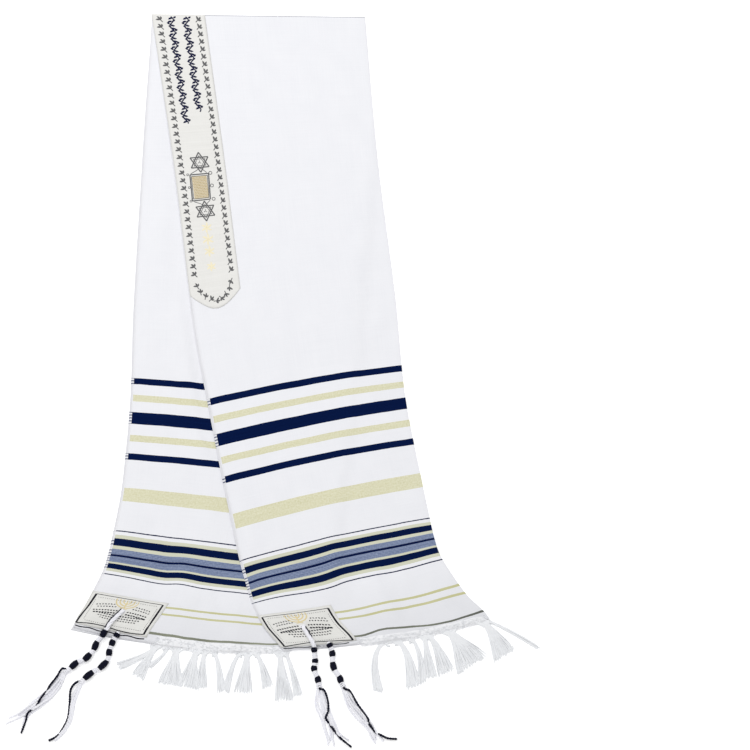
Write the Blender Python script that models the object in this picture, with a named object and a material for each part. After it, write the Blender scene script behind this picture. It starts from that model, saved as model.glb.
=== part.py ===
"""Prayer shawl, folded and laid flat.

One long woven cloth is folded in half along its length, so that the fold runs down the right edge
and the two selvedges down the left, and then laid over itself across the middle. The lower half is
the under leg, the upper half the over leg. On them lie a neckband and two corner patches. Each hem
ends in a strip with a knotted fringe, and each corner has a wound tassel.

The tables and sizes are in millimetres: x to the right, y from the hems to the crosswise fold.
"""
import math

import bmesh
import bpy
from mathutils import Vector

MM = 0.001

# Cloth wall, and the heights of its two sheets above the axis of the crosswise fold
WALL = 1.0
LAYER_GAP = 0.5
INNER_SHEET = LAYER_GAP / 2
OUTER_SHEET = INNER_SHEET + WALL + LAYER_GAP
STACK = OUTER_SHEET + WALL
AXIS_HEIGHT = STACK
HAIRPIN_CENTRE = INNER_SHEET + WALL + LAYER_GAP / 2
HAIRPIN_OUTER = WALL + LAYER_GAP / 2
HAIRPIN_INNER = LAYER_GAP / 2
HAIRPIN_STEPS = 4
LEG_TOP = STACK - INNER_SHEET
OVER_BASE = AXIS_HEIGHT + INNER_SHEET

# Clearance between pieces, and the thickness of what is sewn on
SEAM_GAP = 0.3
TRIM = 0.9

# Grid of the cloth: columns across a leg, and stations along it counted from the hem
COLUMNS = 14
PATCH_COLUMNS = 5
PATCH_HEIGHT = 58.0
PATCH_ROWS = 4
STRIPED_LENGTH = 382.0
STRIPED_ROWS = 13
LEG_LENGTH = 934.0
PLAIN_ROWS = 8
FOLD_TURNS = (-60.0, -30.0, 0.0, 30.0, 60.0)

# Sections of each leg: distance from the hem, the selvedge point, the point on the lengthwise
# fold, and how far the middle bows towards the hem
LEG_COLUMNS = ("from_hem", "left_x", "left_y", "right_x", "right_y", "bow")
UNDER_LEG = (
    (0, -414, -357, -113, -390, 12),
    (17, -406, -341, -110, -381, 6),
    (45, -396, -324, -104, -359, 3),
    (94, -375, -281, -92, -317, 3),
    (127, -367, -255, -88, -288, -1),
    (161, -360, -221, -84, -253, -1),
    (216, -351, -169, -78, -198, -1),
    (273, -346, -115, -72, -140, -1),
    (328, -342, -60, -66, -85, -1),
    (382, -340, -7, -61, -31, -1),
    (488, -339, 93, -53, 80, 0),
    (709, -331, 311, -34, 307, 0),
    (934, -322, 537, -14, 533, 0),
)
OVER_LEG = (
    (0, -126, -387, 158, -345, 10),
    (17, -136, -375, 150, -335, 8),
    (45, -151, -357, 125, -310, 8),
    (94, -168, -324, 92, -260, 3),
    (127, -176, -297, 82, -232, -3),
    (161, -185, -265, 76, -204, -4),
    (216, -197, -210, 65, -150, -4),
    (273, -210, -151, 54, -95, -4),
    (328, -219, -95, 44, -40, -3),
    (382, -229, -40, 38, 10, -4),
    (488, -254, 71, 29, 114, -3),
    (709, -285, 301, 4, 320, -2),
    (934, -322, 537, -14, 533, 0),
)

# The hidden sheet of each leg shows past the visible one at the selvedge and the hem
HIDDEN_SELVEDGE = 1.5
HIDDEN_HEM = 4.0
HIDDEN_HEM_LENGTH = 60.0

# Where the over leg steps down from the under leg to the floor
STEP_MARGIN = 24.0
STEP_WIDTH = 20.0

# Soft ridges: centre, direction from the y axis in degrees, half length, half width and height
RIDGE_COLUMNS = ("x", "y", "turn", "half_length", "half_width", "height")
UNDER_RIDGES = (
    (-262, -318, 12, 95, 26, 4.0),
    (-190, -352, 4, 70, 22, 3.5),
    (-345, -235, 10, 80, 30, 2.5),
    (-280, -60, 2, 150, 34, 2.0),
)
OVER_RIDGES = (
    (12, -335, -14, 85, 24, 4.5),
    (92, -290, -22, 75, 24, 4.0),
    (-62, -262, -8, 90, 28, 2.5),
    (-20, -60, -6, 150, 36, 2.0),
)
LOWER_SHEET_LIFT = 0.35

# Neckband: share of the leg's width, and its blunt end as (share of width, distance from hem)
BAND_END = ((0.004, 526), (0.06, 516), (0.12, 510), (0.18, 520), (0.25, 540))
BAND_ROWS = (600, 709, 820, 934)
BAND_TURNS = (60.0, 30.0, 0.0, -30.0)

# Hem strips: share of the width where the strip starts, its width and its heights
STRIP_START = PATCH_COLUMNS / COLUMNS + 0.01
STRIP_END = 0.985
STRIP_WIDTH = 4.5
STRIP_BOTTOM = 0.4
STRIP_TOP = 2.0
STRIP_SPACING = 0.045
ROOT_WIDTH = 1.7
LOCK_STEPS = 3
LOCK_WIDTH = 2.9
LOCK_THICKNESS = 1.4

# Fringe bunches: share of the width at the root, tip, spread of the tips, bow to the left of the
# way, and number of locks
BUNCH_COLUMNS = ("root", "tip_x", "tip_y", "spread", "bow", "locks")
UNDER_BUNCHES = (
    (0.375, -357, -411, 0, 4, 1),
    (0.395, -325, -427, 11, -2, 3),
    (0.435, -310, -412, 0, 3, 1),
    (0.480, -280, -438, 25, 0, 7),
    (0.575, -256, -442, 21, -2, 6),
    (0.612, -238, -442, 10, -2, 3),
    (0.645, -210, -448, 4, 4, 2),
    (0.775, -204, -447, 4, -5, 2),
    (0.803, -180, -449, 17, -1, 5),
    (0.835, -146, -441, 8, 3, 3),
    (0.945, -124, -460, 18, 0, 5),
    (0.968, -104, -453, 5, 2, 2),
)
OVER_BUNCHES = (
    (0.462, 4, -446, 5, -14, 2),
    (0.530, 52, -441, 9, 8, 3),
    (0.600, 66, -436, 5, 6, 2),
    (0.672, 80, -429, 16, 0, 5),
    (0.710, 102, -422, 9, 3, 3),
    (0.800, 138, -412, 36, 2, 9),
    (0.930, 178, -399, 27, 0, 7),
    (0.972, 226, -387, 0, 2, 1),
)

# Corner tassels: the front one's cord lies on the patch, the back one's comes out at the hem, at a
# share of the leg's width. Then follow the wound shaft and the loose strands, as (x, y)
WOUND = 4.2
BARE = 3.3
CORD = 2.6
TASSEL_SIDES = 8
TASSEL_CLEAR = 0.4
EXIT_GAP = 1.1
HEM_RISE = 2.0
STRAND_RADIUS = 1.25
STRAND_PITCH = 3.4
STRAND_STEPS = 6
TASSELS = {
    "tassel_under_front": {
        "cord": ((-342, -336), (-358, -352), (-370, -367)),
        "shaft": ((-378, -378), (-386, -387), (-396, -402), (-410, -409), (-423, -418)),
        "strands": ((-423, -418), (-441, -440), (-468, -461), (-488, -480), (-506, -490)),
    },
    "tassel_under_back": {
        "exit": 0.186,
        "shaft": ((-359, -380), (-362, -389), (-365, -401), (-381, -417), (-401, -434)),
        "strands": ((-401, -434), (-410, -452), (-413, -474), (-422, -494), (-438, -512)),
    },
    "tassel_over_front": {
        "cord": ((-98, -358), (-91, -371), (-85, -387)),
        "shaft": ((-83, -396), (-82, -404), (-82, -416), (-77, -429), (-74, -441)),
        "strands": ((-74, -441), (-74, -459), (-66, -476), (-62, -496), (-56, -514)),
    },
    "tassel_over_back": {
        "exit": 0.227,
        "shaft": ((-60, -394), (-58, -402), (-57, -412), (-50, -426), (-42, -439)),
        "strands": ((-42, -439), (-37, -453), (-26, -470), (-10, -489), (6, -510)),
    },
}
WINDINGS = 4

# Looks: base colour, roughness
FINISHES = {
    "cloth_white": ((0.86, 0.87, 0.90), 0.85),
    "neckband_satin": ((0.84, 0.82, 0.76), 0.5),
    "patch_satin": ((0.76, 0.75, 0.70), 0.5),
    "fringe_thread": ((0.86, 0.87, 0.90), 0.8),
    "tassel_thread": ((0.30, 0.31, 0.42), 0.8),
}


def clear_scene():
    for thing in list(bpy.data.objects):
        bpy.data.objects.remove(thing, do_unlink=True)


def finish(name):
    colour, roughness = FINISHES[name]
    material = bpy.data.materials.new(name)
    material.use_nodes = True
    shader = material.node_tree.nodes["Principled BSDF"]
    shader.inputs["Base Color"].default_value = (*colour, 1.0)
    shader.inputs["Roughness"].default_value = roughness
    return material


def smooth_step(value):
    value = min(1.0, max(0.0, value))
    return value * value * (3.0 - 2.0 * value)


def table_value(rows, key, column):
    """Smooth curve through one column of a table, straight on past its ends."""
    keys = [row[0] for row in rows]
    last = len(rows) - 1

    def slope(index):
        low, high = max(0, index - 1), min(last, index + 1)
        return (rows[high][column] - rows[low][column]) / (keys[high] - keys[low])

    if key <= keys[0]:
        return rows[0][column] + slope(0) * (key - keys[0])
    if key >= keys[last]:
        return rows[last][column] + slope(last) * (key - keys[last])
    low = max(index for index in range(last) if keys[index] <= key)
    span = keys[low + 1] - keys[low]
    f = (key - keys[low]) / span
    start, end = rows[low][column], rows[low + 1][column]
    return ((2 * f**3 - 3 * f**2 + 1) * start + (f**3 - 2 * f**2 + f) * span * slope(low)
            + (3 * f**2 - 2 * f**3) * end + (f**3 - f**2) * span * slope(low + 1))


def ends(leg, from_hem):
    left = Vector((table_value(leg, from_hem, 1), table_value(leg, from_hem, 2)))
    right = Vector((table_value(leg, from_hem, 3), table_value(leg, from_hem, 4)))
    return left, right


def width(leg, from_hem):
    left, right = ends(leg, from_hem)
    return (right - left).length


def on_leg(leg, share, from_hem):
    """Point of the plane at a share of the leg's width and a distance from its hem."""
    left, right = ends(leg, from_hem)
    bow = table_value(leg, max(0.0, from_hem), 5) * 4.0 * max(0.0, share) * (1.0 - share)
    along = (right - left).normalized()
    down = Vector((along.y, -along.x))
    return left + (right - left) * share + down * bow


def ridges(table, place):
    height = 0.0
    for x, y, turn, half_length, half_width, top in table:
        way = math.radians(turn)
        offset = place - Vector((x, y))
        along = offset.x * math.sin(way) + offset.y * math.cos(way)
        across = offset.x * math.cos(way) - offset.y * math.sin(way)
        height += top * math.exp(-(along / half_length) ** 2 - (across / half_width) ** 2)
    return height


def calm(from_hem):
    """Share of the ridges' height: they fade before the crosswise fold."""
    return smooth_step((LEG_LENGTH - 200.0 - from_hem) / 200.0)


def under_right_edge(y):
    by_height = [(row[4], row[3]) for row in UNDER_LEG]
    return table_value(by_height, y, 1)


def over_floor(place):
    """Height of what the over leg lies on: the under leg, then the floor beyond its edge."""
    beyond = place.x - under_right_edge(place.y) - STEP_MARGIN
    return OVER_BASE * (1.0 - smooth_step(beyond / STEP_WIDTH))


def under_height(place, from_hem, height):
    """World height on the under leg, for a height above the axis of the crosswise fold."""
    upper = smooth_step((OUTER_SHEET - height) / LAYER_GAP)
    return AXIS_HEIGHT - height + upper * calm(from_hem) * ridges(UNDER_RIDGES, place)


def over_height(place, from_hem, height):
    upper = smooth_step((height - OUTER_SHEET + LAYER_GAP) / LAYER_GAP)
    share = LOWER_SHEET_LIFT + (1.0 - LOWER_SHEET_LIFT) * upper
    lift = share * calm(from_hem) * ridges(OVER_RIDGES, place)
    return over_floor(place) - INNER_SHEET + height + lift


def stations():
    rows = [PATCH_HEIGHT * row / PATCH_ROWS for row in range(PATCH_ROWS)]
    striped = STRIPED_LENGTH - PATCH_HEIGHT
    rows += [PATCH_HEIGHT + striped * row / STRIPED_ROWS for row in range(STRIPED_ROWS)]
    plain = LEG_LENGTH - STRIPED_LENGTH
    rows += [STRIPED_LENGTH + plain * row / PLAIN_ROWS for row in range(PLAIN_ROWS + 1)]
    return rows


def profile(flat_width, hairpin_radius, outer_height, inner_height):
    """One side of the folded cloth across a leg: (distance from selvedge, height, sheet)."""
    flat = flat_width - HAIRPIN_OUTER
    points = [(flat * column / COLUMNS, outer_height, "outer") for column in range(COLUMNS)]
    for step in range(HAIRPIN_STEPS + 1):
        turn = math.pi * step / HAIRPIN_STEPS
        reach = flat + hairpin_radius * math.sin(turn)
        points.append((reach, HAIRPIN_CENTRE + hairpin_radius * math.cos(turn), "fold"))
    for column in reversed(range(COLUMNS)):
        points.append((flat * column / COLUMNS, inner_height, "inner"))
    return points


def both_sides(flat_width):
    out = profile(flat_width, HAIRPIN_OUTER, STACK, INNER_SHEET)
    back = profile(flat_width, HAIRPIN_INNER, OUTER_SHEET, INNER_SHEET + WALL)
    return out, back


def hidden_reach(share):
    """How far the hidden sheet's hem lies past the visible one: only beside the corner patch."""
    return HIDDEN_HEM * max(0.0, 1.0 - share * COLUMNS / PATCH_COLUMNS)


def leg_ring(leg, from_hem, hidden, height_at):
    full = width(leg, from_hem)
    fade = smooth_step((LEG_LENGTH - from_hem) / 200.0)
    near_hem = max(0.0, 1.0 - from_hem / HIDDEN_HEM_LENGTH) ** 2
    ring = []
    for side in both_sides(full):
        for distance, height, sheet in side:
            share, row = distance / full, from_hem
            if sheet == hidden:
                share -= HIDDEN_SELVEDGE / full * fade * (1.0 - share)
                row = from_hem - hidden_reach(share) * near_hem
            place = on_leg(leg, share, row)
            ring.append(Vector((place.x, place.y, height_at(place, from_hem, height))))
    return ring


def crease_point(distance, height, turn):
    """Point on the crosswise fold, a turn in degrees round its axis: -90 below, 90 above."""
    left, right = ends(OVER_LEG, LEG_LENGTH)
    along = (right - left).normalized()
    away = Vector((-along.y, along.x))
    angle = math.radians(turn)
    place = left + along * distance + away * height * math.cos(angle)
    return Vector((place.x, place.y, AXIS_HEIGHT + height * math.sin(angle)))


def fold_ring(turn):
    return [crease_point(distance, height, turn)
            for side in both_sides(width(OVER_LEG, LEG_LENGTH))
            for distance, height, _ in side]


def cloth_rings():
    rows = stations()
    rings = [leg_ring(UNDER_LEG, row, "outer", under_height) for row in rows]
    rings += [fold_ring(turn) for turn in FOLD_TURNS]
    rings += [leg_ring(OVER_LEG, row, "inner", over_height) for row in reversed(rows)]
    return rings


def new_object(name, mesh_data, material):
    bmesh.ops.recalc_face_normals(mesh_data, faces=mesh_data.faces)
    mesh = bpy.data.meshes.new(name)
    mesh_data.to_mesh(mesh)
    mesh_data.free()
    mesh.materials.append(material)
    mesh.shade_smooth()
    mesh.set_sharp_from_angle(angle=math.radians(40))
    piece = bpy.data.objects.new(name, mesh)
    bpy.context.scene.collection.objects.link(piece)
    return piece


def add_split(mesh_data, first, second, third, fourth):
    """Quad as two triangles that share the line from its first corner to its third."""
    mesh_data.faces.new((first, second, third))
    mesh_data.faces.new((first, third, fourth))


def cloth(material):
    """Sweep the two-sided profile from one hem over the crosswise fold to the other."""
    mesh_data = bmesh.new()
    rings = [[mesh_data.verts.new(point * MM) for point in ring] for ring in cloth_rings()]
    half = len(rings[0]) // 2
    for ring, after in zip(rings, rings[1:]):
        for start in (0, half):
            for index in range(start, start + half - 1):
                add_split(mesh_data, ring[index], ring[index + 1],
                          after[index + 1], after[index])
        for outer in (0, half - 1):
            inner = outer + half
            mesh_data.faces.new((ring[outer], after[outer], after[inner], ring[inner]))
    for ring in (rings[0], rings[-1]):
        for index in range(half - 1):
            back = index + half
            mesh_data.faces.new((ring[index], ring[index + 1], ring[back + 1], ring[back]))
    return new_object("shawl_cloth", mesh_data, material)


def sewn_on(name, grid, material):
    """Panel from a grid of the cloth's points, each given as its lower and upper point."""
    mesh_data = bmesh.new()
    skins = [[[mesh_data.verts.new(pair[skin] * MM) for pair in row] for row in grid]
             for skin in (0, 1)]
    rows, columns = len(grid), len(grid[0])
    for skin in skins:
        for row in range(rows - 1):
            for column in range(columns - 1):
                add_split(mesh_data, skin[row][column + 1], skin[row + 1][column + 1],
                          skin[row + 1][column], skin[row][column])
    rim = [(0, column) for column in range(columns)]
    rim += [(row, columns - 1) for row in range(1, rows)]
    rim += [(rows - 1, column) for column in reversed(range(columns - 1))]
    rim += [(row, 0) for row in reversed(range(1, rows - 1))]
    for here, there in zip(rim, rim[1:] + rim[:1]):
        mesh_data.faces.new([skins[0][here[0]][here[1]], skins[0][there[0]][there[1]],
                             skins[1][there[0]][there[1]], skins[1][here[0]][here[1]]])
    return new_object(name, mesh_data, material)


def raised(place, top):
    low = Vector((place.x, place.y, top + SEAM_GAP))
    return low, low + Vector((0.0, 0.0, TRIM))


def corner_patch(name, leg, height_at, sheet_height, material):
    """Patch at the selvedge corner, on the cloth's own columns and stations."""
    inset = 1.0
    grid = []
    for row in range(PATCH_ROWS + 1):
        from_hem = PATCH_HEIGHT * row / PATCH_ROWS
        full = width(leg, from_hem)
        line = []
        for column in range(PATCH_COLUMNS + 1):
            share = (full - HAIRPIN_OUTER) * column / COLUMNS / full
            if column == 0:
                share += inset / full
            place = on_leg(leg, share, max(inset, from_hem))
            line.append(raised(place, height_at(place, from_hem, sheet_height)))
        grid.append(line)
    return sewn_on(name, grid, material)


def neckband(material):
    """Band along the selvedge, from its blunt end up and round the crosswise fold."""
    full = width(OVER_LEG, LEG_LENGTH)
    grid = []
    for row in (None, *BAND_ROWS):
        line = []
        for share, end in BAND_END:
            from_hem = end if row is None else row
            place = on_leg(OVER_LEG, share, from_hem)
            line.append(raised(place, over_height(place, from_hem, STACK)))
        grid.append(line)
    for turn in BAND_TURNS:
        grid.append([(crease_point(share * full, STACK + SEAM_GAP, turn),
                      crease_point(share * full, STACK + SEAM_GAP + TRIM, turn))
                     for share, _ in BAND_END])
    return sewn_on("neckband", grid, material)


def strip_shares(bunches):
    """Stations along a hem strip, with the root cells of the locks marked."""
    cells = []
    full = width(UNDER_LEG, 0)
    for number, bunch in enumerate(bunches):
        root, locks = bunch[0], bunch[5]
        start = root - locks * ROOT_WIDTH / full / 2
        for lock in range(locks):
            cells.append((start + lock * ROOT_WIDTH / full, (number, lock)))
        cells.append((start + locks * ROOT_WIDTH / full, None))
    filled = [(STRIP_START, None)]
    for share, mark in cells + [(STRIP_END, None)]:
        while share - filled[-1][0] > STRIP_SPACING and filled[-1][1] is None:
            filled.append((filled[-1][0] + STRIP_SPACING * 0.8, None))
        filled.append((share, mark))
    return filled


def add_lock(mesh_data, root, bunch, lock):
    """Tapered lock grown from the four corners of its root cell."""
    _, tip_x, tip_y, spread, bow, locks = bunch
    centre = sum((vert.co for vert in root), Vector()) / 4 / MM
    offset = spread * (lock / (locks - 1) - 0.5) if locks > 1 else 0.0
    way = Vector((tip_x, tip_y, 0.0)) - Vector((centre.x, centre.y, 0.0))
    along = way.normalized()
    side = Vector((-along.y, along.x, 0.0))
    middle = STRIP_BOTTOM + LOCK_THICKNESS / 2
    corners = list(root)
    for step in range(1, LOCK_STEPS + 1):
        part = step / LOCK_STEPS
        swing = offset * part ** 0.8 + bow * 4.0 * part * (1.0 - part)
        place = centre + way * part + side * swing
        half = (LOCK_WIDTH if step < LOCK_STEPS else LOCK_WIDTH * 0.7) / 2
        ring = []
        for across, up in ((-1, 1), (1, 1), (1, -1), (-1, -1)):
            point = place + side * across * half
            ring.append(Vector((point.x, point.y, middle + up * LOCK_THICKNESS / 2)))
        verts = [mesh_data.verts.new(point * MM) for point in ring]
        for index in range(4):
            after = (index + 1) % 4
            mesh_data.faces.new((corners[index], corners[after], verts[after], verts[index]))
        corners = verts
    mesh_data.faces.new(corners)


def fringe(name, leg, bunches, material):
    """Strip along the hem, just clear of it, with locks grown out of its front."""
    mesh_data = bmesh.new()
    marks = strip_shares(bunches)
    rings = []
    for share, _ in marks:
        back = on_leg(leg, share, -SEAM_GAP)
        front = on_leg(leg, share, -SEAM_GAP - STRIP_WIDTH)
        rings.append([mesh_data.verts.new(Vector((place.x, place.y, height)) * MM)
                      for place, height in ((back, STRIP_TOP), (front, STRIP_TOP),
                                            (front, STRIP_BOTTOM), (back, STRIP_BOTTOM))])
    for index, (ring, after) in enumerate(zip(rings, rings[1:])):
        mark = marks[index][1]
        for corner in range(4):
            beside = (corner + 1) % 4
            if corner == 1 and mark:
                continue
            mesh_data.faces.new((ring[corner], ring[beside], after[beside], after[corner]))
        if mark:
            root = (ring[1], after[1], after[2], ring[2])
            add_lock(mesh_data, root, bunches[mark[0]], mark[1])
    mesh_data.faces.new(rings[0])
    mesh_data.faces.new(rings[-1])
    return new_object(name, mesh_data, material)


def curve_through(points, steps):
    """Evenly stepped smooth curve through hand-set points."""
    rows = [(index, *point) for index, point in enumerate(points)]
    last = len(points) - 1
    return [Vector([table_value(rows, last * step / steps, 1 + axis)
                    for axis in range(len(points[0]))]) for step in range(steps + 1)]


def tube_ring(mesh_data, centre, way, radius):
    side = Vector((way.y, -way.x, 0.0)).normalized()
    ring = []
    for corner in range(TASSEL_SIDES):
        angle = 2 * math.pi * corner / TASSEL_SIDES
        point = centre + side * radius * math.cos(angle)
        point.z += radius * math.sin(angle)
        ring.append(mesh_data.verts.new(point * MM))
    return ring


def cord_stations(route, leg, height_at, sheet_height):
    """Cord over the corner patch, or its short end where it comes out at the hem."""
    if "exit" in route:
        start = on_leg(leg, route["exit"], -hidden_reach(route["exit"]) - EXIT_GAP)
        return [(Vector((start.x, start.y, TASSEL_CLEAR + CORD)), CORD)]
    found = []
    for x, y in route["cord"]:
        top = height_at(Vector((x, y)), 0.0, sheet_height) + SEAM_GAP + TRIM
        found.append((Vector((x, y, top + SEAM_GAP + CORD)), CORD))
    return found


def shaft_stations(route, side):
    """Centres and radii: the cord, then wound and bare stretches by turns."""
    found = cord_stations(route, *CORNERS[side])
    path = curve_through(route["shaft"], WINDINGS * 4)
    for index, point in enumerate(path):
        radius = WOUND if index % 4 in (1, 2) else BARE
        rise = HEM_RISE if index == 0 and "cord" in route else 0.0
        found.append((Vector((point.x, point.y, TASSEL_CLEAR + WOUND + rise)), radius))
    return found


def add_strand(mesh_data, root, number, route):
    """Three-sided strand grown from one face of the shaft's end."""
    angle = 2 * math.pi * (number + 0.5) / TASSEL_SIDES
    upper = math.sin(angle) > 0
    rank = math.copysign(1.5 if abs(math.cos(angle)) > 0.7 else 0.5, math.cos(angle))
    level = TASSEL_CLEAR + STRAND_RADIUS + (2.1 * STRAND_RADIUS + SEAM_GAP if upper else 0.0)
    path = curve_through(route["strands"], STRAND_STEPS)
    start = sum((vert.co for vert in root), Vector()) / 3 / MM
    length = 1.0 - 0.06 * ((number * 3) % 4)
    corners = list(root)
    for step in range(1, STRAND_STEPS + 1):
        part = step / STRAND_STEPS
        here = path[step]
        way = here - path[step - 1]
        if step == STRAND_STEPS:
            here = path[step - 1] + way * (1.0 - 4.0 * (1.0 - length))
        side = Vector((way.y, -way.x)).normalized()
        lateral = rank * STRAND_PITCH * (0.75 + 0.7 * part)
        settle = smooth_step(part * 2.5)
        height = start.z + (level - start.z) * settle
        ring = []
        for turn in (math.pi, -math.pi / 3, math.pi / 3):
            reach = STRAND_RADIUS * (1.0 if step < STRAND_STEPS else 0.6)
            across = lateral + reach * math.cos(angle + turn)
            ring.append(Vector((here.x + side.x * across, here.y + side.y * across,
                                height + reach * math.sin(angle + turn))))
        verts = [mesh_data.verts.new(point * MM) for point in ring]
        for index in range(3):
            after = (index + 1) % 3
            mesh_data.faces.new((corners[index], corners[after], verts[after], verts[index]))
        corners = verts
    mesh_data.faces.new(corners)


def tassel(name, route, side, material):
    """Cord, wound shaft and eight loose strands as one body."""
    mesh_data = bmesh.new()
    found = shaft_stations(route, side)
    rings = []
    for index, (centre, radius) in enumerate(found):
        way = found[min(index + 1, len(found) - 1)][0] - found[max(index - 1, 0)][0]
        rings.append(tube_ring(mesh_data, centre, way, radius))
    for ring, after in zip(rings, rings[1:]):
        for corner in range(TASSEL_SIDES):
            beside = (corner + 1) % TASSEL_SIDES
            mesh_data.faces.new((ring[corner], ring[beside], after[beside], after[corner]))
    mesh_data.faces.new(rings[0])
    centre = mesh_data.verts.new(found[-1][0] * MM)
    for corner in range(TASSEL_SIDES):
        root = (centre, rings[-1][corner], rings[-1][(corner + 1) % TASSEL_SIDES])
        add_strand(mesh_data, root, corner, route)
    return new_object(name, mesh_data, material)


CORNERS = {
    "under": (UNDER_LEG, under_height, INNER_SHEET),
    "over": (OVER_LEG, over_height, STACK),
}


def stand_on_middle(pieces):
    """Put the origin at the middle of the footprint, on the surface it lies on."""
    corners = [vert.co for piece in pieces for vert in piece.data.vertices]
    low = [min(corner[axis] for corner in corners) for axis in range(3)]
    high = [max(corner[axis] for corner in corners) for axis in range(3)]
    shift = Vector((-(low[0] + high[0]) / 2, -(low[1] + high[1]) / 2, 0.0))
    for piece in pieces:
        for vert in piece.data.vertices:
            vert.co += shift


def main():
    clear_scene()
    finishes = {name: finish(name) for name in FINISHES}
    pieces = [cloth(finishes["cloth_white"]), neckband(finishes["neckband_satin"])]
    for side, (leg, height_at, sheet_height) in CORNERS.items():
        pieces.append(corner_patch(f"corner_patch_{side}", leg, height_at, sheet_height,
                                   finishes["patch_satin"]))
    pieces.append(fringe("fringe_under", UNDER_LEG, UNDER_BUNCHES, finishes["fringe_thread"]))
    pieces.append(fringe("fringe_over", OVER_LEG, OVER_BUNCHES, finishes["fringe_thread"]))
    for name, route in TASSELS.items():
        side = name.split("_")[1]
        pieces.append(tassel(name, route, side, finishes["tassel_thread"]))
    stand_on_middle(pieces)


main()
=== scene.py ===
"""Looks of the folded prayer shawl: woven cloth, neckband, corner patches, fringe and tassels.

Tables are in millimetres in the shawl's own plan, x to the right and y from the hems to the
crosswise fold, as it lies on the table. SHIFT carries that plan to the frame.
"""

import math
import random

import bmesh
import bpy
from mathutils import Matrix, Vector, noise


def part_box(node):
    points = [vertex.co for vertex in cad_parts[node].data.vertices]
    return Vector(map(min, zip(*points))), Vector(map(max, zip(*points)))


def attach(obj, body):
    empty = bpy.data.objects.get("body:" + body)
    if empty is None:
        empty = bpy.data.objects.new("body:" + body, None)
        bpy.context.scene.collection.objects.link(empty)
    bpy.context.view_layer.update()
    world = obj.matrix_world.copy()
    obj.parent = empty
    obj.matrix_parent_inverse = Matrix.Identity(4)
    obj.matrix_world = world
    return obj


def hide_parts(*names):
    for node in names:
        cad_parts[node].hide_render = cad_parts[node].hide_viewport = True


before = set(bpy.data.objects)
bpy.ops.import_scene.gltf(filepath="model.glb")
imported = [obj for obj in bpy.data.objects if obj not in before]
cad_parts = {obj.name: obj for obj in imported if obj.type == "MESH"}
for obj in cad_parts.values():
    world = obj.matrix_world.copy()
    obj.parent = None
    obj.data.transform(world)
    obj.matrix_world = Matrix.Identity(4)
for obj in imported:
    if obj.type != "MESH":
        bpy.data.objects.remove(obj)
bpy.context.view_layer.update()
MM = 0.001

# Folded cloth: heights of the middle of its two sheets above the axis of the crosswise fold
INNER_MID = 0.75
OUTER_MID = 2.25
AXIS_HEIGHT = 2.75
HAIRPIN_HEIGHT = 1.5
HAIRPIN_RADIUS = 0.75
HAIRPIN_REACH = 1.25
CLOTH_THICK = 0.6
OVER_BASE = 3.0
LEG_LENGTH = 934.0

# Sections of each leg: distance from the hem, the selvedge point, the point on the lengthwise
# fold, and how far the middle bows towards the hem
UNDER_LEG = (
    (0, -414, -357, -113, -390, 12),
    (17, -406, -341, -110, -381, 6),
    (45, -396, -324, -104, -359, 3),
    (94, -375, -281, -92, -317, 4),
    (127, -367, -255, -88, -288, 2),
    (161, -360, -221, -84, -253, 1),
    (216, -351, -169, -78, -198, 0),
    (273, -346, -115, -72, -140, 0),
    (328, -342, -60, -66, -85, 0),
    (382, -340, -7, -61, -31, 0),
    (488, -339, 93, -53, 80, 0),
    (709, -331, 311, -34, 307, 0),
    (934, -322, 537, -14, 533, 0),
)
OVER_LEG = (
    (0, -126, -387, 158, -345, 10),
    (17, -136, -375, 150, -335, 8),
    (45, -151, -357, 125, -310, 8),
    (94, -168, -324, 92, -260, 3),
    (127, -176, -297, 82, -232, -3),
    (161, -185, -265, 76, -204, -4),
    (216, -197, -210, 65, -150, -4),
    (273, -210, -151, 54, -95, -4),
    (328, -221.3, -95, 44, -40, -3),
    (382, -232.3, -40, 38, 10, -4),
    (488, -254, 71, 29, 114, -3),
    (709, -285, 301, 4, 320, -2),
    (934, -322, 537, -14, 533, 0),
)
PATCH_SHARE = 5 / 14
HIDDEN_SELVEDGE = 1.5
HIDDEN_HEM = 4.0
HIDDEN_HEM_LENGTH = 60.0
STEP_MARGIN = 24.0
STEP_WIDTH = 20.0

# Soft ridges: centre, direction from the y axis in degrees, half length, half width and height
UNDER_RIDGES = (
    (-262, -318, 12, 95, 26, 4.0),
    (-190, -352, 4, 70, 22, 3.5),
    (-345, -235, 10, 80, 30, 2.5),
    (-280, -60, 2, 150, 34, 2.0),
)
OVER_RIDGES = (
    (12, -335, -14, 85, 24, 4.5),
    (92, -290, -22, 75, 24, 4.0),
    (-62, -262, -8, 90, 28, 2.5),
    (-20, -60, -6, 150, 36, 2.0),
)
# Small folds of the under leg beside the over leg, in the same columns
UNDER_FOLDS = (
    (-302, 190, -2, 110, 12, 2.2),
    (-264, 22, -9, 105, 9, 3.0),
    (-238, -103, -27, 24, 5, 2.8),
    (-225, -319, -20, 20, 5, 2.4),
    (-300, -250, 14, 60, 9, 1.6),
)
LOWER_SHEET_LIFT = 0.35
# Lengths before the crosswise fold in which the ridges and the edges' own shape fade
RIDGE_FADE = 200.0
EDGE_FADE = 60.0
# Distance from the selvedge past which a sheet no longer feels it
FAR_INSIDE = 100.0
# Edges that lie free, by height on the plan: under leg's lengthwise fold, over leg's selvedge
RIGHT_EDGE = [(row[4], row[3]) for row in UNDER_LEG]
LEFT_EDGE = [(row[2], row[1]) for row in OVER_LEG]

CLOTH_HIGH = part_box("shawl_cloth")[1]
SHIFT = Vector((CLOTH_HIGH.x / MM - OVER_LEG[0][3],
                CLOTH_HIGH.y / MM - OVER_LEG[-1][2] - AXIS_HEIGHT, 0.0))

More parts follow.
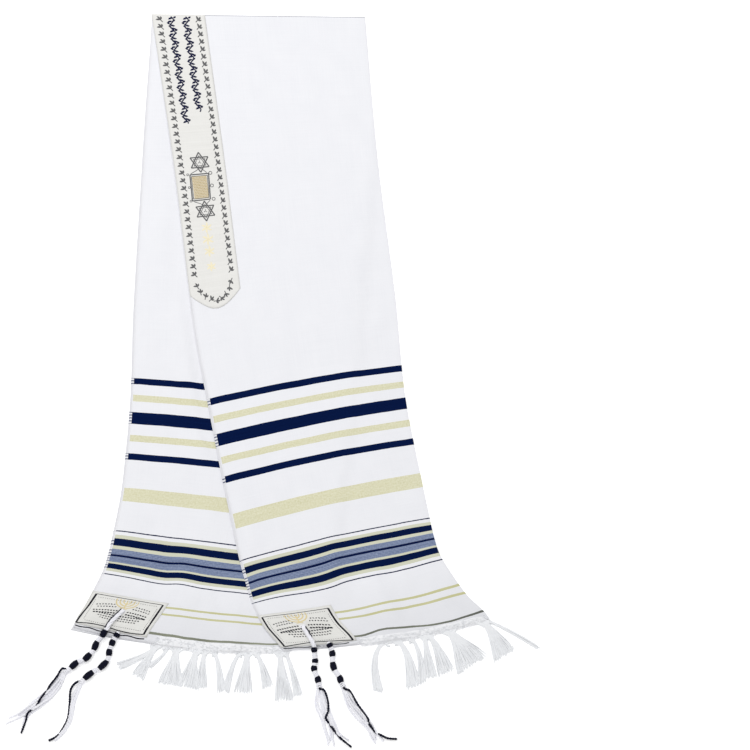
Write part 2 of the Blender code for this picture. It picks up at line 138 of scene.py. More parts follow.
# Camera: the photograph's angle, a long lens, and the middle of its frame on the plan
PHOTO_PIXELS = 750
PIXELS_PER_MM = 0.714
CAMERA_DISTANCE = 4500.0
CAMERA_ELEVATION = 75.0
CAMERA_LIFT = 1.7
SENSOR = 36.0


def smooth_step(value):
    value = min(1.0, max(0.0, value))
    return value * value * (3.0 - 2.0 * value)


def table_value(rows, key, column):
    """Smooth curve through one column of a table, straight on past its ends."""
    keys = [row[0] for row in rows]
    last = len(rows) - 1

    def slope(index):
        low, high = max(0, index - 1), min(last, index + 1)
        return (rows[high][column] - rows[low][column]) / (keys[high] - keys[low])

    if key <= keys[0]:
        return rows[0][column] + slope(0) * (key - keys[0])
    if key >= keys[last]:
        return rows[last][column] + slope(last) * (key - keys[last])
    low = max(index for index in range(last) if keys[index] <= key)
    span = keys[low + 1] - keys[low]
    f = (key - keys[low]) / span
    start, end = rows[low][column], rows[low + 1][column]
    return ((2 * f**3 - 3 * f**2 + 1) * start + (f**3 - 2 * f**2 + f) * span * slope(low)
            + (3 * f**2 - 2 * f**3) * end + (f**3 - f**2) * span * slope(low + 1))


def section(leg, from_hem, known={}):
    """Selvedge point, fold point and bow of one section, kept for the next call."""
    key = (id(leg), round(from_hem, 4))
    if key not in known:
        values = [table_value(leg, from_hem, column) for column in (1, 2, 3, 4)]
        bow = table_value(leg, max(0.0, from_hem), 5)
        known[key] = (Vector(values[:2]), Vector(values[2:]), bow)
    return known[key]


def on_leg(leg, share, from_hem):
    left, right, bow = section(leg, from_hem)
    along = (right - left).normalized()
    down = Vector((along.y, -along.x))
    return left + (right - left) * share + down * bow * 4.0 * max(0.0, share) * (1.0 - share)


def ridges(table, place):
    height = 0.0
    for x, y, turn, half_length, half_width, top in table:
        way = math.radians(turn)
        away_x, away_y = place.x - x, place.y - y
        along = away_x * math.sin(way) + away_y * math.cos(way)
        across = away_x * math.cos(way) - away_y * math.sin(way)
        height += top * math.exp(-(along / half_length) ** 2 - (across / half_width) ** 2)
    return height


def calm(from_hem):
    """Share of the ridges' height: they fade before the crosswise fold."""
    return smooth_step((LEG_LENGTH - RIDGE_FADE - from_hem) / RIDGE_FADE)


def over_floor(place):
    beyond = place.x - table_value(RIGHT_EDGE, place.y, 1) - STEP_MARGIN
    return OVER_BASE * (1.0 - smooth_step(beyond / STEP_WIDTH))


def under_height(place, from_hem, height):
    upper = smooth_step((OUTER_MID - height) / (OUTER_MID - INNER_MID))
    return AXIS_HEIGHT - height + upper * calm(from_hem) * ridges(UNDER_RIDGES, place)


def over_height(place, from_hem, height):
    upper = smooth_step((height - INNER_MID) / (OUTER_MID - INNER_MID))
    share = LOWER_SHEET_LIFT + (1.0 - LOWER_SHEET_LIFT) * upper
    lift = share * calm(from_hem) * ridges(OVER_RIDGES, place)
    return over_floor(place) + height - AXIS_HEIGHT + OVER_BASE - 0.5 + lift


def crease_point(distance, height, turn):
    left, right, _ = section(OVER_LEG, LEG_LENGTH)
    along = (right - left).normalized()
    away = Vector((-along.y, along.x))
    place = left + along * distance + away * height * math.cos(turn)
    return Vector((place.x, place.y, AXIS_HEIGHT + height * math.sin(turn)))


def in_frame(point):
    return (point + SHIFT) * MM


# What one point of the cloth is: its place, and where it lies on the flat cloth in metres
FLAT_WIDTH = 0.570
CREASE_LENGTH = 0.008
FLAT_LENGTH = 2 * LEG_LENGTH * MM + CREASE_LENGTH
SHEET_COLUMNS = 50
HAIRPIN_COLUMNS = 6
LEG_ROWS = 180
CREASE_ROWS = 8
# Share of the flat width at which a sheet turns into the lengthwise fold
FLAT_SHARE = 0.498
# How far a top sheet sinks on its lower one at its edges
PINCH = 0.72
# How far the woven bands lie past their even places: distance from the hem, under and over leg
BAND_DRIFT = ((0, -0.5, -1.0), (50, -0.2, -0.6), (94, 1.2, 0.6), (127, 1.8, 1.2), (161, 1.5, 0.6),
              (216, 1.4, 0.4), (382, 1.2, 0.2), (600, 0.0, 0.0), (934, 0.0, 0.0))
# The same by share of the width: on the last 24 mm, on the fine lines, and on the blue group
HEM_DRIFT = {"under": ((0.0, 0.0, 0.0, 0.0), (0.15, 2.0, 0.2, 0.5), (0.29, 4.4, 0.4, 2.0),
                       (0.38, 5.4, 0.5, -1.2), (0.5, 6.0, 0.6, 0.6), (0.75, 5.2, -0.5, 0.0),
                       (0.9, 2.5, -2.4, 0.0), (1.0, 0.5, -3.6, 0.0)),
             "over": ((0.0, 0.0, 0.0, 0.0), (0.12, 1.0, 0.0, -1.2), (0.29, 3.0, 0.0, 1.2),
                      (0.4, 4.6, 0.3, 1.8), (0.5, -0.8, 0.2, -1.6), (0.62, 1.2, -0.4, -0.6),
                      (0.78, 5.0, 0.5, 1.6), (1.0, 0.6, 0.0, 2.8))}


def side_of(leg):
    return "under" if leg is UNDER_LEG else "over"


def band_drift(leg, share, from_hem):
    """How far the woven bands lie past their even places, because hands laid the shawl out."""
    drift = table_value(BAND_DRIFT, from_hem, 1 if leg is UNDER_LEG else 2)
    low = 1.0 - smooth_step((from_hem - 16.0) / 26.0)
    high = smooth_step((from_hem - 26.0) / 14.0) * (1.0 - smooth_step((from_hem - 58.0) / 30.0))
    group = smooth_step((from_hem - 64.0) / 26.0) * (1.0 - smooth_step((from_hem - 92.0) / 88.0))
    rows = HEM_DRIFT[side_of(leg)]
    return (drift + low * table_value(rows, share, 1) + high * table_value(rows, share, 2)
            + group * table_value(rows, share, 3))


def leg_width(leg, from_hem):
    left, right, _ = section(leg, from_hem)
    return (right - left).length


def hidden_reach(share):
    return HIDDEN_HEM * max(0.0, 1.0 - share / PATCH_SHARE)


def soft_waves(place, scale, seed):
    """Small uneven swells of hand-laid cloth, from 0 to 1."""
    spot = Vector((place.x / scale, place.y / (scale * 1.6), seed))
    return min(1.0, max(0.0, 0.5 + 0.8 * noise.noise(spot)))


def from_selvedge(distance, from_hem):
    """Distance from the selvedge, opened out near the crosswise fold, where no edge sinks."""
    fade = smooth_step((LEG_LENGTH - from_hem) / EDGE_FADE)
    return distance + (FAR_INSIDE - min(FAR_INSIDE, distance)) * (1.0 - fade)


def edge_lift(leg, inside, from_hem):
    """How much a leg's top sheet sinks on its lower one at the selvedge and the hem, and how
    much the over leg curls up along its selvedge."""
    near = 1.0 - smooth_step(min(inside / 16.0, (from_hem + 4.0) / 22.0))
    curl = 0.0
    if leg is OVER_LEG:
        curl = 0.9 * smooth_step((from_hem - 60.0) / 90.0)
        curl *= 1.0 - smooth_step((from_hem - 380.0) / 120.0)
        curl *= 1.0 - smooth_step(inside / 60.0)
    return -PINCH * near, curl


def leg_height(leg, place, from_hem, height, inside=FAR_INSIDE):
    """Height of one of a leg's two sheets over the floor, with its swells."""
    sink, curl = edge_lift(leg, inside, from_hem)
    fade = calm(from_hem) * 0.8 + 0.2 * smooth_step((LEG_LENGTH - from_hem) / EDGE_FADE)
    near_hem = smooth_step((190.0 - from_hem) / 120.0)
    swell = (1.3 + 1.1 * near_hem) * soft_waves(place, 30.0, 2.0)
    swell += (0.5 + 0.6 * near_hem) * soft_waves(place, 12.0, 7.0)
    if leg is UNDER_LEG:
        gap = table_value(LEFT_EDGE, place.y, 1) - place.x
        open_air = smooth_step((gap - 6.0) / 30.0)
        upper = smooth_step((OUTER_MID - height) / (OUTER_MID - INNER_MID))
        rise = fade * open_air * swell * (1.0 + sink / PINCH * 0.8)
        rise += smooth_step((gap - 3.0) / 14.0) * ridges(UNDER_FOLDS, place)
        return under_height(place, from_hem, height) + upper * (rise + sink)
    upper = smooth_step((height - INNER_MID) / (OUTER_MID - INNER_MID))
    rise = fade * swell * (1.0 + sink / PINCH * 0.8)
    return over_height(place, from_hem, height) + upper * (rise + sink) + curl


def cloth_across(column, full):
    """Distance from the selvedge, height in the stack, sheet and share of the flat width."""
    flat = full - HAIRPIN_REACH
    if column <= SHEET_COLUMNS:
        part = column / SHEET_COLUMNS
        return flat * part, OUTER_MID, "outer", FLAT_SHARE * part
    column -= SHEET_COLUMNS
    if column < HAIRPIN_COLUMNS:
        turn = math.pi * column / HAIRPIN_COLUMNS
        reach = flat + HAIRPIN_RADIUS * math.sin(turn)
        return (reach, HAIRPIN_HEIGHT + HAIRPIN_RADIUS * math.cos(turn), "fold",
                FLAT_SHARE + 0.004 * column / HAIRPIN_COLUMNS)
    part = 1.0 - (column - HAIRPIN_COLUMNS) / SHEET_COLUMNS
    return flat * part, INNER_MID, "inner", 1.0 - FLAT_SHARE * part


def cloth_point(across, along):
    column = round(across * (2 * SHEET_COLUMNS + HAIRPIN_COLUMNS))
    row = round(along * (2 * LEG_ROWS + CREASE_ROWS))
    if LEG_ROWS < row < LEG_ROWS + CREASE_ROWS:
        distance, height, _, u = cloth_across(column, leg_width(OVER_LEG, LEG_LENGTH))
        part = (row - LEG_ROWS) / CREASE_ROWS
        v = LEG_LENGTH * MM + CREASE_LENGTH * part
        return crease_point(distance, height, math.pi * (part - 0.5)), (u * FLAT_WIDTH, v)
    leg, hidden = UNDER_LEG, "outer"
    if row > LEG_ROWS:
        leg, hidden, row = OVER_LEG, "inner", 2 * LEG_ROWS + CREASE_ROWS - row
    from_hem = LEG_LENGTH * row / LEG_ROWS
    full = leg_width(leg, from_hem)
    distance, height, sheet, u = cloth_across(column, full)
    share, line = distance / full, from_hem
    if sheet == hidden:
        fade = smooth_step((LEG_LENGTH - from_hem) / RIDGE_FADE)
        share -= HIDDEN_SELVEDGE / full * fade * (1.0 - share)
        line -= hidden_reach(share) * max(0.0, 1.0 - from_hem / HIDDEN_HEM_LENGTH) ** 2
    place = on_leg(leg, share, line)
    z = leg_height(leg, place, from_hem, height, from_selvedge(distance, from_hem))
    v = (from_hem + band_drift(leg, distance / full, from_hem)) * MM
    v = v if leg is UNDER_LEG else FLAT_LENGTH - v
    return Vector((place.x, place.y, z)), (u * FLAT_WIDTH, v)


def leg_top(leg, share, from_hem, lift):
    """Point on the sheet that shows on a leg, a little above its middle."""
    place = on_leg(leg, share, from_hem)
    height = INNER_MID if leg is UNDER_LEG else OUTER_MID
    distance = max(0.0, share) * leg_width(leg, from_hem)
    z = leg_height(leg, place, from_hem, height, from_selvedge(distance, from_hem))
    return Vector((place.x, place.y, z + lift))


# Making pieces
def start_clean():
    for piece in bpy.context.selected_objects:
        piece.select_set(False)


def settle(piece, finish, slot, *nodes):
    """Finish and body of a piece, and the solids that it stands for; slot is not used."""
    if finish:
        piece.data.materials.clear()
        piece.data.materials.append(finish.material)
    piece.data.shade_smooth()
    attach(piece, "root")
    for node in nodes:
        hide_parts(node)
    start_clean()
    return piece


def bent_grid(name, columns, rows, point_at, thick):
    """Flat grid carried point by point to its place, with flat metres as its UV map."""
    start_clean()
    bpy.ops.mesh.primitive_grid_add(x_subdivisions=columns, y_subdivisions=rows, size=1.0)
    piece = bpy.context.object
    piece.name = piece.data.name = name
    flat = []
    for vert in piece.data.vertices:
        point, spot = point_at(vert.co.x + 0.5, vert.co.y + 0.5)
        vert.co = in_frame(point)
        flat.append(spot)
    layer = piece.data.uv_layers[0]
    layer.name = "UVMap"
    for loop in piece.data.loops:
        layer.uv[loop.index].vector = flat[loop.vertex_index]
    wall = piece.modifiers.new("wall", "SOLIDIFY")
    wall.thickness, wall.offset, wall.use_even_offset = thick * MM, 0.0, False
    bpy.ops.object.modifier_apply(modifier=wall.name)
    return piece


def threads(name, routes):
    """Round threads, one for each route of (point, radius) pairs, made one mesh."""
    start_clean()
    curve = bpy.data.curves.new(name, "CURVE")
    curve.dimensions, curve.use_fill_caps = "3D", True
    curve.bevel_depth, curve.bevel_resolution = MM, 1
    for route in routes:
        spline = curve.splines.new("POLY")
        spline.points.add(len(route) - 1)
        for knot, (point, radius) in zip(spline.points, route):
            knot.co = (*in_frame(point), 1.0)
            knot.radius = radius
    piece = bpy.data.objects.new(name, curve)
    bpy.context.scene.collection.objects.link(piece)
    bpy.context.view_layer.objects.active = piece
    piece.select_set(True)
    bpy.ops.object.convert(target="MESH")
    piece = bpy.context.object
    piece.name = piece.data.name = name
    return piece


# Finishes
class Link:
    """A shader socket; arithmetic on it adds Math nodes to its finish."""

    def __init__(self, finish, socket):
        self.finish, self.socket = finish, socket

    def __add__(self, other):
        return self.finish.maths("ADD", self, other)

    def __sub__(self, other):
        return self.finish.maths("SUBTRACT", self, other)

    def __rsub__(self, other):
        return self.finish.maths("SUBTRACT", other, self)

    def __mul__(self, other):
        return self.finish.maths("MULTIPLY", self, other)

    def __truediv__(self, other):
        return self.finish.maths("DIVIDE", self, other)

    __radd__, __rmul__ = __add__, __mul__


class Finish:
    """A material round one Principled shader, wired node by node."""

    def __init__(self, name, **values):
        self.material = bpy.data.materials.new(name)
        self.material.use_nodes = True
        self.tree = self.material.node_tree
        self.shader = self.tree.nodes["Principled BSDF"]
        self.feed(self.shader, values)

    def feed(self, node, values):
        for key, value in values.items():
            socket = node.inputs[key]
            if isinstance(value, Link):
                self.tree.links.new(value.socket, socket)
            else:
                socket.default_value = value

    def node(self, kind, settings, values, out=0):
        node = self.tree.nodes.new(kind)
        for key, value in settings.items():
            if key == "stops":
                self.set_stops(node.color_ramp, value)
            elif key == "interpolation":
                node.color_ramp.interpolation = value
            else:
                setattr(node, key, value)
        self.feed(node, values)
        return Link(self, node.outputs[out])

    def set_stops(self, ramp, stops):
        ramp.elements.remove(ramp.elements[-1])
        ramp.elements[0].position, ramp.elements[0].color = stops[0]
        for place, colour in stops[1:]:
            ramp.elements.new(place).color = colour

    def maths(self, operation, *values):
        return self.node("ShaderNodeMath", {"operation": operation}, dict(enumerate(values)))

    def blend(self, share, first, second):
        return self.node("ShaderNodeMix", {"data_type": "RGBA"},
                         {0: share, 6: first, 7: second}, 2)

    def sheet_place(self):
        """Across and along the flat cloth, in millimetres."""
        flat = self.node("ShaderNodeUVMap", {"uv_map": "UVMap"}, {})
        self.flat = flat
        parts = self.node("ShaderNodeSeparateXYZ", {}, {0: flat})
        along = Link(self, parts.socket.node.outputs[1])
        return parts * 1000.0, along * 1000.0

    def patchy(self, vector, scale, detail=2.0):
        """Noise from 0 to 1; scale is the number of spots in a metre along each axis."""
        spread = self.node("ShaderNodeMapping", {}, {"Vector": vector, "Scale": scale})
        return self.node("ShaderNodeTexNoise", {},
                         {"Vector": spread, "Scale": 1.0, "Detail": detail})

    def object_place(self):
        return self.node("ShaderNodeTexCoord", {}, {}, 3)

    def wave(self, value, pitch):
        return self.maths("SINE", value * (2.0 * math.pi / pitch))

    def bump(self, height, distance, strength):
        normal = self.node("ShaderNodeBump", {},
                           {"Height": height, "Distance": distance, "Strength": strength})
        self.feed(self.shader, {"Normal": normal})


def paint(red, green, blue):
    """Screen colour, 0 to 255, as the shader's own."""
    return (*(((part / 255 + 0.055) / 1.055) ** 2.4 for part in (red, green, blue)), 1.0)


BLACK, WHITE = (0.0, 0.0, 0.0, 1.0), (1.0, 1.0, 1.0, 1.0)
# Woven bands: distance from the hem where each yarn starts and ends, in millimetres
GOLD_BANDS = ((206.0, 226.0), (294.0, 304.0), (353.0, 361.0))
PALE_GOLD_BANDS = ((100.0, 104.5), (113.5, 117.4), (136.6, 141.5), (150.5, 156.0))
LINE_BANDS = ((43.2, 46.8), (53.2, 56.6))
NAVY_BANDS = ((93.1, 95.0), (104.5, 113.5), (125.8, 128.4), (141.5, 150.5), (160.1, 162.0),
              (268.7, 277.3), (319.2, 336.8), (377.7, 386.3))
CHAMBRAY_BANDS = ((117.0, 125.8), (128.4, 137.0))
OLIVE_BANDS = ((15.4, 18.7),)
BANDED = 400.0
YARN_PITCH = 0.62


def bands(finish, distance, rows):
    """Mask that is 1 inside the given bands."""
    stops = [(0.0, BLACK)]
    for low, high in rows:
        stops += [(low / BANDED, WHITE), (high / BANDED, BLACK)]
    return finish.node("ShaderNodeValToRGB", {"interpolation": "CONSTANT", "stops": stops},
                       {0: distance / BANDED})


def woven_cloth():
    """White cotton with weft bands: gold, navy and chambray yarns, each with its own weave."""
    cloth = Finish("woven_cloth", **{"Specular IOR Level": 0.02})
    across, along = cloth.sheet_place()
    distance = cloth.maths("MINIMUM", along, FLAT_LENGTH * 1000.0 - along)
    drift = cloth.patchy(cloth.flat, (26.0, 40.0, 1.0)) - 0.5
    frayed = cloth.patchy(cloth.flat, (900.0, 500.0, 1.0)) - 0.5
    loose = 1.0 - cloth.maths("MINIMUM", distance / 90.0, 1.0)
    line = distance + drift * (1.2 + loose * 2.4) + frayed * 0.7
    gold, navy = bands(cloth, line, GOLD_BANDS), bands(cloth, line, NAVY_BANDS)
    pale_gold, fine_gold = bands(cloth, line, PALE_GOLD_BANDS), bands(cloth, line, LINE_BANDS)
    chambray, olive = bands(cloth, line, CHAMBRAY_BANDS), bands(cloth, line, OLIVE_BANDS)
    warp, weft = cloth.wave(across, YARN_PITCH), cloth.wave(along, YARN_PITCH)
    weave = warp * weft * 0.5 + 0.5
    slub = cloth.patchy(cloth.flat, (14.0, 900.0, 1.0))
    streak = cloth.patchy(cloth.flat, (900.0, 10.0, 1.0))
    grain = cloth.patchy(cloth.flat, (420.0, 420.0, 1.0))
    mottle = cloth.patchy(cloth.flat, (40.0, 26.0, 1.0), 3.0)
    shade = cloth.maths("MULTIPLY_ADD", slub + streak + mottle, 0.35, -0.02)
    white = cloth.blend(shade, paint(230, 231, 236), paint(246, 246, 249))
    white = cloth.blend(weave * 0.06, white, paint(216, 218, 228))
    # Painted shade: the white turns greyer over the last 90 mm before each hem, most at about 12
    # mm from it.
    hem = cloth.maths("MINIMUM", distance / 12.0, 1.0)
    white = cloth.blend(loose * hem * 0.5, white, paint(216, 217, 221))
    gold_yarn = cloth.blend(slub, paint(200, 197, 156), paint(223, 220, 188))
    gold_yarn = cloth.blend(grain * 1.1 - 0.3, gold_yarn, paint(242, 241, 224))
    fine_yarn = cloth.blend(slub, paint(186, 184, 138), paint(214, 212, 168))
    pale_yarn = cloth.blend(slub, paint(198, 200, 178), paint(222, 222, 202))
    navy_yarn = cloth.blend(slub * 0.6 + grain * 0.5, paint(1, 10, 43), paint(8, 29, 76))
    pale = cloth.maths("MULTIPLY_ADD", cloth.wave(along, 1.9) * 0.3 + slub + grain, 1.1, -0.75)
    blue_yarn = cloth.blend(pale, paint(74, 90, 130), paint(150, 163, 192))
    blue_yarn = cloth.blend(weave * 0.25, blue_yarn, paint(196, 204, 216))
    # Olive line: its own olive, mixed at random with dark grey and made darker grey on the over
    # leg; the dark grey is painted shadow.
    olive_shadow_patches = cloth.patchy(cloth.flat, (11.0, 3.0, 1.0))
    olive_yarn = cloth.blend(olive_shadow_patches * 2.0 - 0.5, paint(96, 98, 92), paint(168, 172, 150))
    over_leg_painted_shadow = cloth.maths("GREATER_THAN", along, FLAT_LENGTH * 500.0)
    olive_yarn = cloth.blend(over_leg_painted_shadow * 0.45, olive_yarn, paint(78, 80, 80))
    colour = white
    for band, band_yarn in ((gold, gold_yarn), (pale_gold, pale_yarn), (fine_gold, fine_yarn),
                            (chambray, blue_yarn), (navy, navy_yarn), (olive, olive_yarn)):
        colour = cloth.blend(band, colour, band_yarn)
    edge = cloth.maths("MINIMUM", across, FLAT_WIDTH * 1000.0 - across)
    selvedge = cloth.maths("LESS_THAN", edge + frayed, 2.8)
    knots = cloth.maths("GREATER_THAN", cloth.wave(along, 4.2) + grain, 0.9)
    edging = cloth.blend(knots * (navy + chambray), paint(240, 240, 244), paint(104, 110, 132))
    colour = cloth.blend(selvedge, colour, edging)
    # Painted shade: a thin grey line across the cloth at the crosswise fold, where the fold's
    # shade falls.
    painted_fold_shade = along - FLAT_LENGTH * 500.0
    painted_fold_shade = cloth.maths("LESS_THAN", cloth.maths("ABSOLUTE", painted_fold_shade - 2.0), 1.3)
    colour = cloth.blend(painted_fold_shade * 0.7, colour, paint(128, 130, 140))
    rough = 0.9 - gold * 0.2 - navy * 0.1
    cloth.feed(cloth.shader, {"Base Color": colour, "Roughness": rough})
    raised = weave * 0.6 + slub * 0.5 + (gold + navy + selvedge) * 0.5
    cloth.bump(raised, 0.0002, 0.35)
    return cloth


def satin(name, dark, light, weave_turn):
    """Smooth band or patch cloth with a fine slanting twill and a soft shine."""
    panel = Finish(name, **{"Sheen Weight": 0.03, "Specular IOR Level": 0.3})
    across, along = panel.sheet_place()
    twill = panel.wave(across + along * weave_turn, 0.8)
    thread = panel.patchy(panel.flat, (700.0, 30.0, 1.0))
    cloudy = panel.patchy(panel.flat, (30.0, 30.0, 1.0), 3.0)
    ribs = panel.patchy(panel.flat, (12.0, 420.0, 1.0))
    colour = panel.blend(thread * 0.4 + cloudy * 0.3 + ribs * 0.8 - 0.2, dark, light)
    colour = panel.blend(twill * 0.08 + 0.08, colour, dark)
    panel.feed(panel.shader, {"Base Color": colour, "Roughness": 0.42 + thread * 0.2})
    panel.bump(twill * 0.4 + thread * 0.6, 0.00015, 0.3)
    return panel


def yarn(name, dark, light, rough):
    """Spun thread: colour that changes a little along it, with fine fibres."""
    thread = Finish(name, **{"Sheen Weight": 0.03, "Specular IOR Level": 0.12})
    place = thread.object_place()
    uneven = thread.patchy(place, (160.0, 160.0, 160.0), 3.0)
    fibre = thread.patchy(place, (1500.0, 1500.0, 900.0))
    colour = thread.blend(uneven * 0.6 + fibre * 0.5, dark, light)
    thread.feed(thread.shader, {"Base Color": colour, "Roughness": rough - fibre * 0.15})
    thread.bump(fibre, 0.0002, 0.4)
    return thread


# Sewn panels: the neckband along the selvedge and the two corner patches. The neckband's end is
# given by share of the width and distance from the hem
BAND_END = ((0.0, 531), (0.03, 522), (0.085, 510), (0.125, 507), (0.165, 510), (0.21, 519),
            (0.25, 530))
BAND_WIDTH = 72.0
BAND_SHARE = BAND_END[-1][0]
BAND_TURN = 30.0
# Share of its grid's length that lies on the leg; the rest goes over the crosswise fold
BAND_ON_LEG = 0.96
PANEL_RISE = 0.75
PANEL_THICK = 0.45
PATCH_WIDTH = 106.0
PATCH_HEIGHT = 66.0
# Corners of each patch: distance from the hem and share of the width, bottom left and right,
# then top left and right
PATCH_CORNERS = {"under": ((5.7, -0.004), (5.9, 0.332), (66.0, -0.004), (63.0, 0.366)),
                 "over": ((2.1, -0.004), (7.0, 0.366), (69.0, -0.004), (68.6, 0.366))}
# Corners of each patch's stitched border, from the lower left round to the upper left, and how
# far its lower line arches and waves
PATCH_BORDERS = {"under": ((1.8, 1.4), (100.0, 3.4), (100.0, 61.5), (7.0, 62.2)),
                 "over": ((5.5, 1.0), (101.0, 1.3), (100.0, 61.5), (4.8, 61.5))}
PATCH_WAVES = {"under": (1.4, 1.8), "over": (4.2, 0.0)}
LAMP_MIDDLE = {"under": 53.0, "over": 51.0}
EYELETS = {"under": (54.0, 38.5), "over": (51.5, 35.4)}
# Left, right, lower and upper line that the fine border runs inside
FINE_BORDER = (5.5, 100.0, 3.4, 61.5)
# Rows of seed stitches: height, start, end and width of a stitch
SEED_ROWS = (
    (50.5, 14.0, 38.0, 1.5), (50.5, 68.0, 90.0, 1.5), (46.0, 17.0, 40.0, 1.5),
    (46.0, 65.0, 88.0, 1.5), (38.5, 14.0, 48.0, 2.2), (38.5, 60.0, 90.0, 2.2),
    (32.8, 16.0, 49.0, 2.9), (32.8, 60.0, 88.0, 2.9), (26.8, 20.0, 88.0, 2.3),
    (21.5, 24.0, 84.0, 1.9), (16.8, 28.0, 80.0, 1.6),
)
SEED_PITCH = 3.8


def on_band(x, y, lift=0.0):
    """Point on the neckband, x across from the selvedge and y down from the crosswise fold."""
    share = x / BAND_WIDTH * BAND_SHARE
    if y < 0.0:
        distance = share * leg_width(OVER_LEG, LEG_LENGTH)
        turn = math.pi / 2 + y / (OUTER_MID + PANEL_RISE)
        return crease_point(distance, OUTER_MID + PANEL_RISE + lift, turn)
    return leg_top(OVER_LEG, share, LEG_LENGTH - y, PANEL_RISE + lift)


def band_point(across, along):
    length = LEG_LENGTH - table_value(BAND_END, across * BAND_SHARE, 1)
    if along < BAND_ON_LEG:
        y = length - along / BAND_ON_LEG * length
    else:
        above = math.radians(90.0 + BAND_TURN) * (OUTER_MID + PANEL_RISE)
        y = -(along - BAND_ON_LEG) / 0.04 * above
    x = across * BAND_WIDTH
    return on_band(x, y), (x * MM, y * MM)


def on_patch(leg):
    """Place on a corner patch, x across from the selvedge and y up from the hem."""
    corners = [Vector(corner) for corner in PATCH_CORNERS[side_of(leg)]]

    def place(x, y, lift=0.0):
        across, up = x / PATCH_WIDTH, y / PATCH_HEIGHT
        spot = corners[0].lerp(corners[1], across).lerp(corners[2].lerp(corners[3], across), up)
        return leg_top(leg, spot.y, spot.x, PANEL_RISE + lift)
    return place


def patch_point(leg):
    place = on_patch(leg)

    def point_at(across, along):
        x, y = across * PATCH_WIDTH, along * PATCH_HEIGHT
        return place(x, y), (x * MM, y * MM)
    return point_at


class Stitching:
    """Raised strokes of thread that follow a panel; place gives a point from x, y and lift."""

    def __init__(self, place):
        self.place, self.points, self.faces = place, [], []

    def stroke(self, line, width, rise=0.35, leaf=False):
        line = [Vector(point) for point in line]
        start = len(self.points)
        last = len(line) - 1
        for index, point in enumerate(line):
            way = (line[min(index + 1, last)] - line[max(index - 1, 0)]).normalized()
            side = Vector((-way.y, way.x))
            part = index / last
            half = width / 2 * (max(0.12, math.sin(math.pi * part) ** 0.7) if leaf else 1.0)
            for across, up in ((-1.0, 0.0), (0.0, 1.0), (1.0, 0.0)):
                spot = point + side * half * across
                self.points.append(self.place(spot.x, spot.y, PANEL_THICK / 2 + up * rise))
        for index in range(last):
            low = start + index * 3
            for step in (0, 1):
                a, b = low + step, low + step + 1
                self.faces.append((a, b, b + 3, a + 3))

    def outline(self, corners, width):
        """Straight sides from corner to corner and back to the first."""
        for first, second in zip(corners, corners[1:] + corners[:1]):
            self.stroke([first.lerp(second, part / 6) for part in range(7)], width)

    def ring(self, centre, radius, width, steps=14):
        turns = [2 * math.pi * step / steps for step in range(steps + 1)]
        self.stroke([(centre[0] + radius * math.cos(t), centre[1] + radius * math.sin(t))
                     for t in turns], width)

    def leaf(self, root, turn, length, width):
        way = Vector((math.sin(turn), -math.cos(turn)))
        side = Vector((-way.y, way.x)) * length * 0.08
        root = Vector(root)
        self.stroke([root, root + way * length * 0.35 + side, root + way * length * 0.7 + side,
                     root + way * length], width, leaf=True)

    def piece(self, name, finish, slot, node):
        mesh = bpy.data.meshes.new(name)
        mesh.from_pydata([in_frame(point) for point in self.points], [], self.faces)
        piece = bpy.data.objects.new(name, mesh)
        bpy.context.scene.collection.objects.link(piece)
        bpy.context.view_layer.objects.active = piece
        face_outwards(mesh)
        return settle(piece, finish, slot, node)


def face_outwards(mesh):
    """Turn the stroke faces that look down, so that all look up from the cloth."""
    shape = bmesh.new()
    shape.from_mesh(mesh)
    for face in shape.faces:
        face.normal_update()
        if face.normal.z < -0.2:
            face.normal_flip()
    shape.to_mesh(mesh)
    shape.free()


def sprig(stitching, centre, turn, size):
    """Three leaves on a short stem, like a bird's foot."""
    for spread, length in ((-0.85, 0.95), (0.0, 1.0), (0.85, 0.8)):
        stitching.leaf(centre, turn + spread, size * length, size * 0.42)
    way = Vector((math.sin(turn), -math.cos(turn)))
    root = Vector(centre)
    stitching.stroke([root - way * size * 0.6, root - way * size * 0.3, root], size * 0.2)


def star_points(centre, radius, start):
    return [Vector((centre[0] + radius * math.sin(start + 2 * math.pi * corner / 3),
                    centre[1] - radius * math.cos(start + 2 * math.pi * corner / 3)))
            for corner in (0, 1, 2)]


def star(stitching, centre, radius):
    """Two crossed triangles, each of two close lines, round a small rosette."""
    for start in (0.0, math.pi):
        for reach, width in ((radius, 1.8), (radius - 4.8, 0.9)):
            stitching.outline(star_points(centre, reach, start), width)
    for petal in range(3):
        stitching.leaf(centre, petal * 2 * math.pi / 3, radius * 0.2, 1.1)


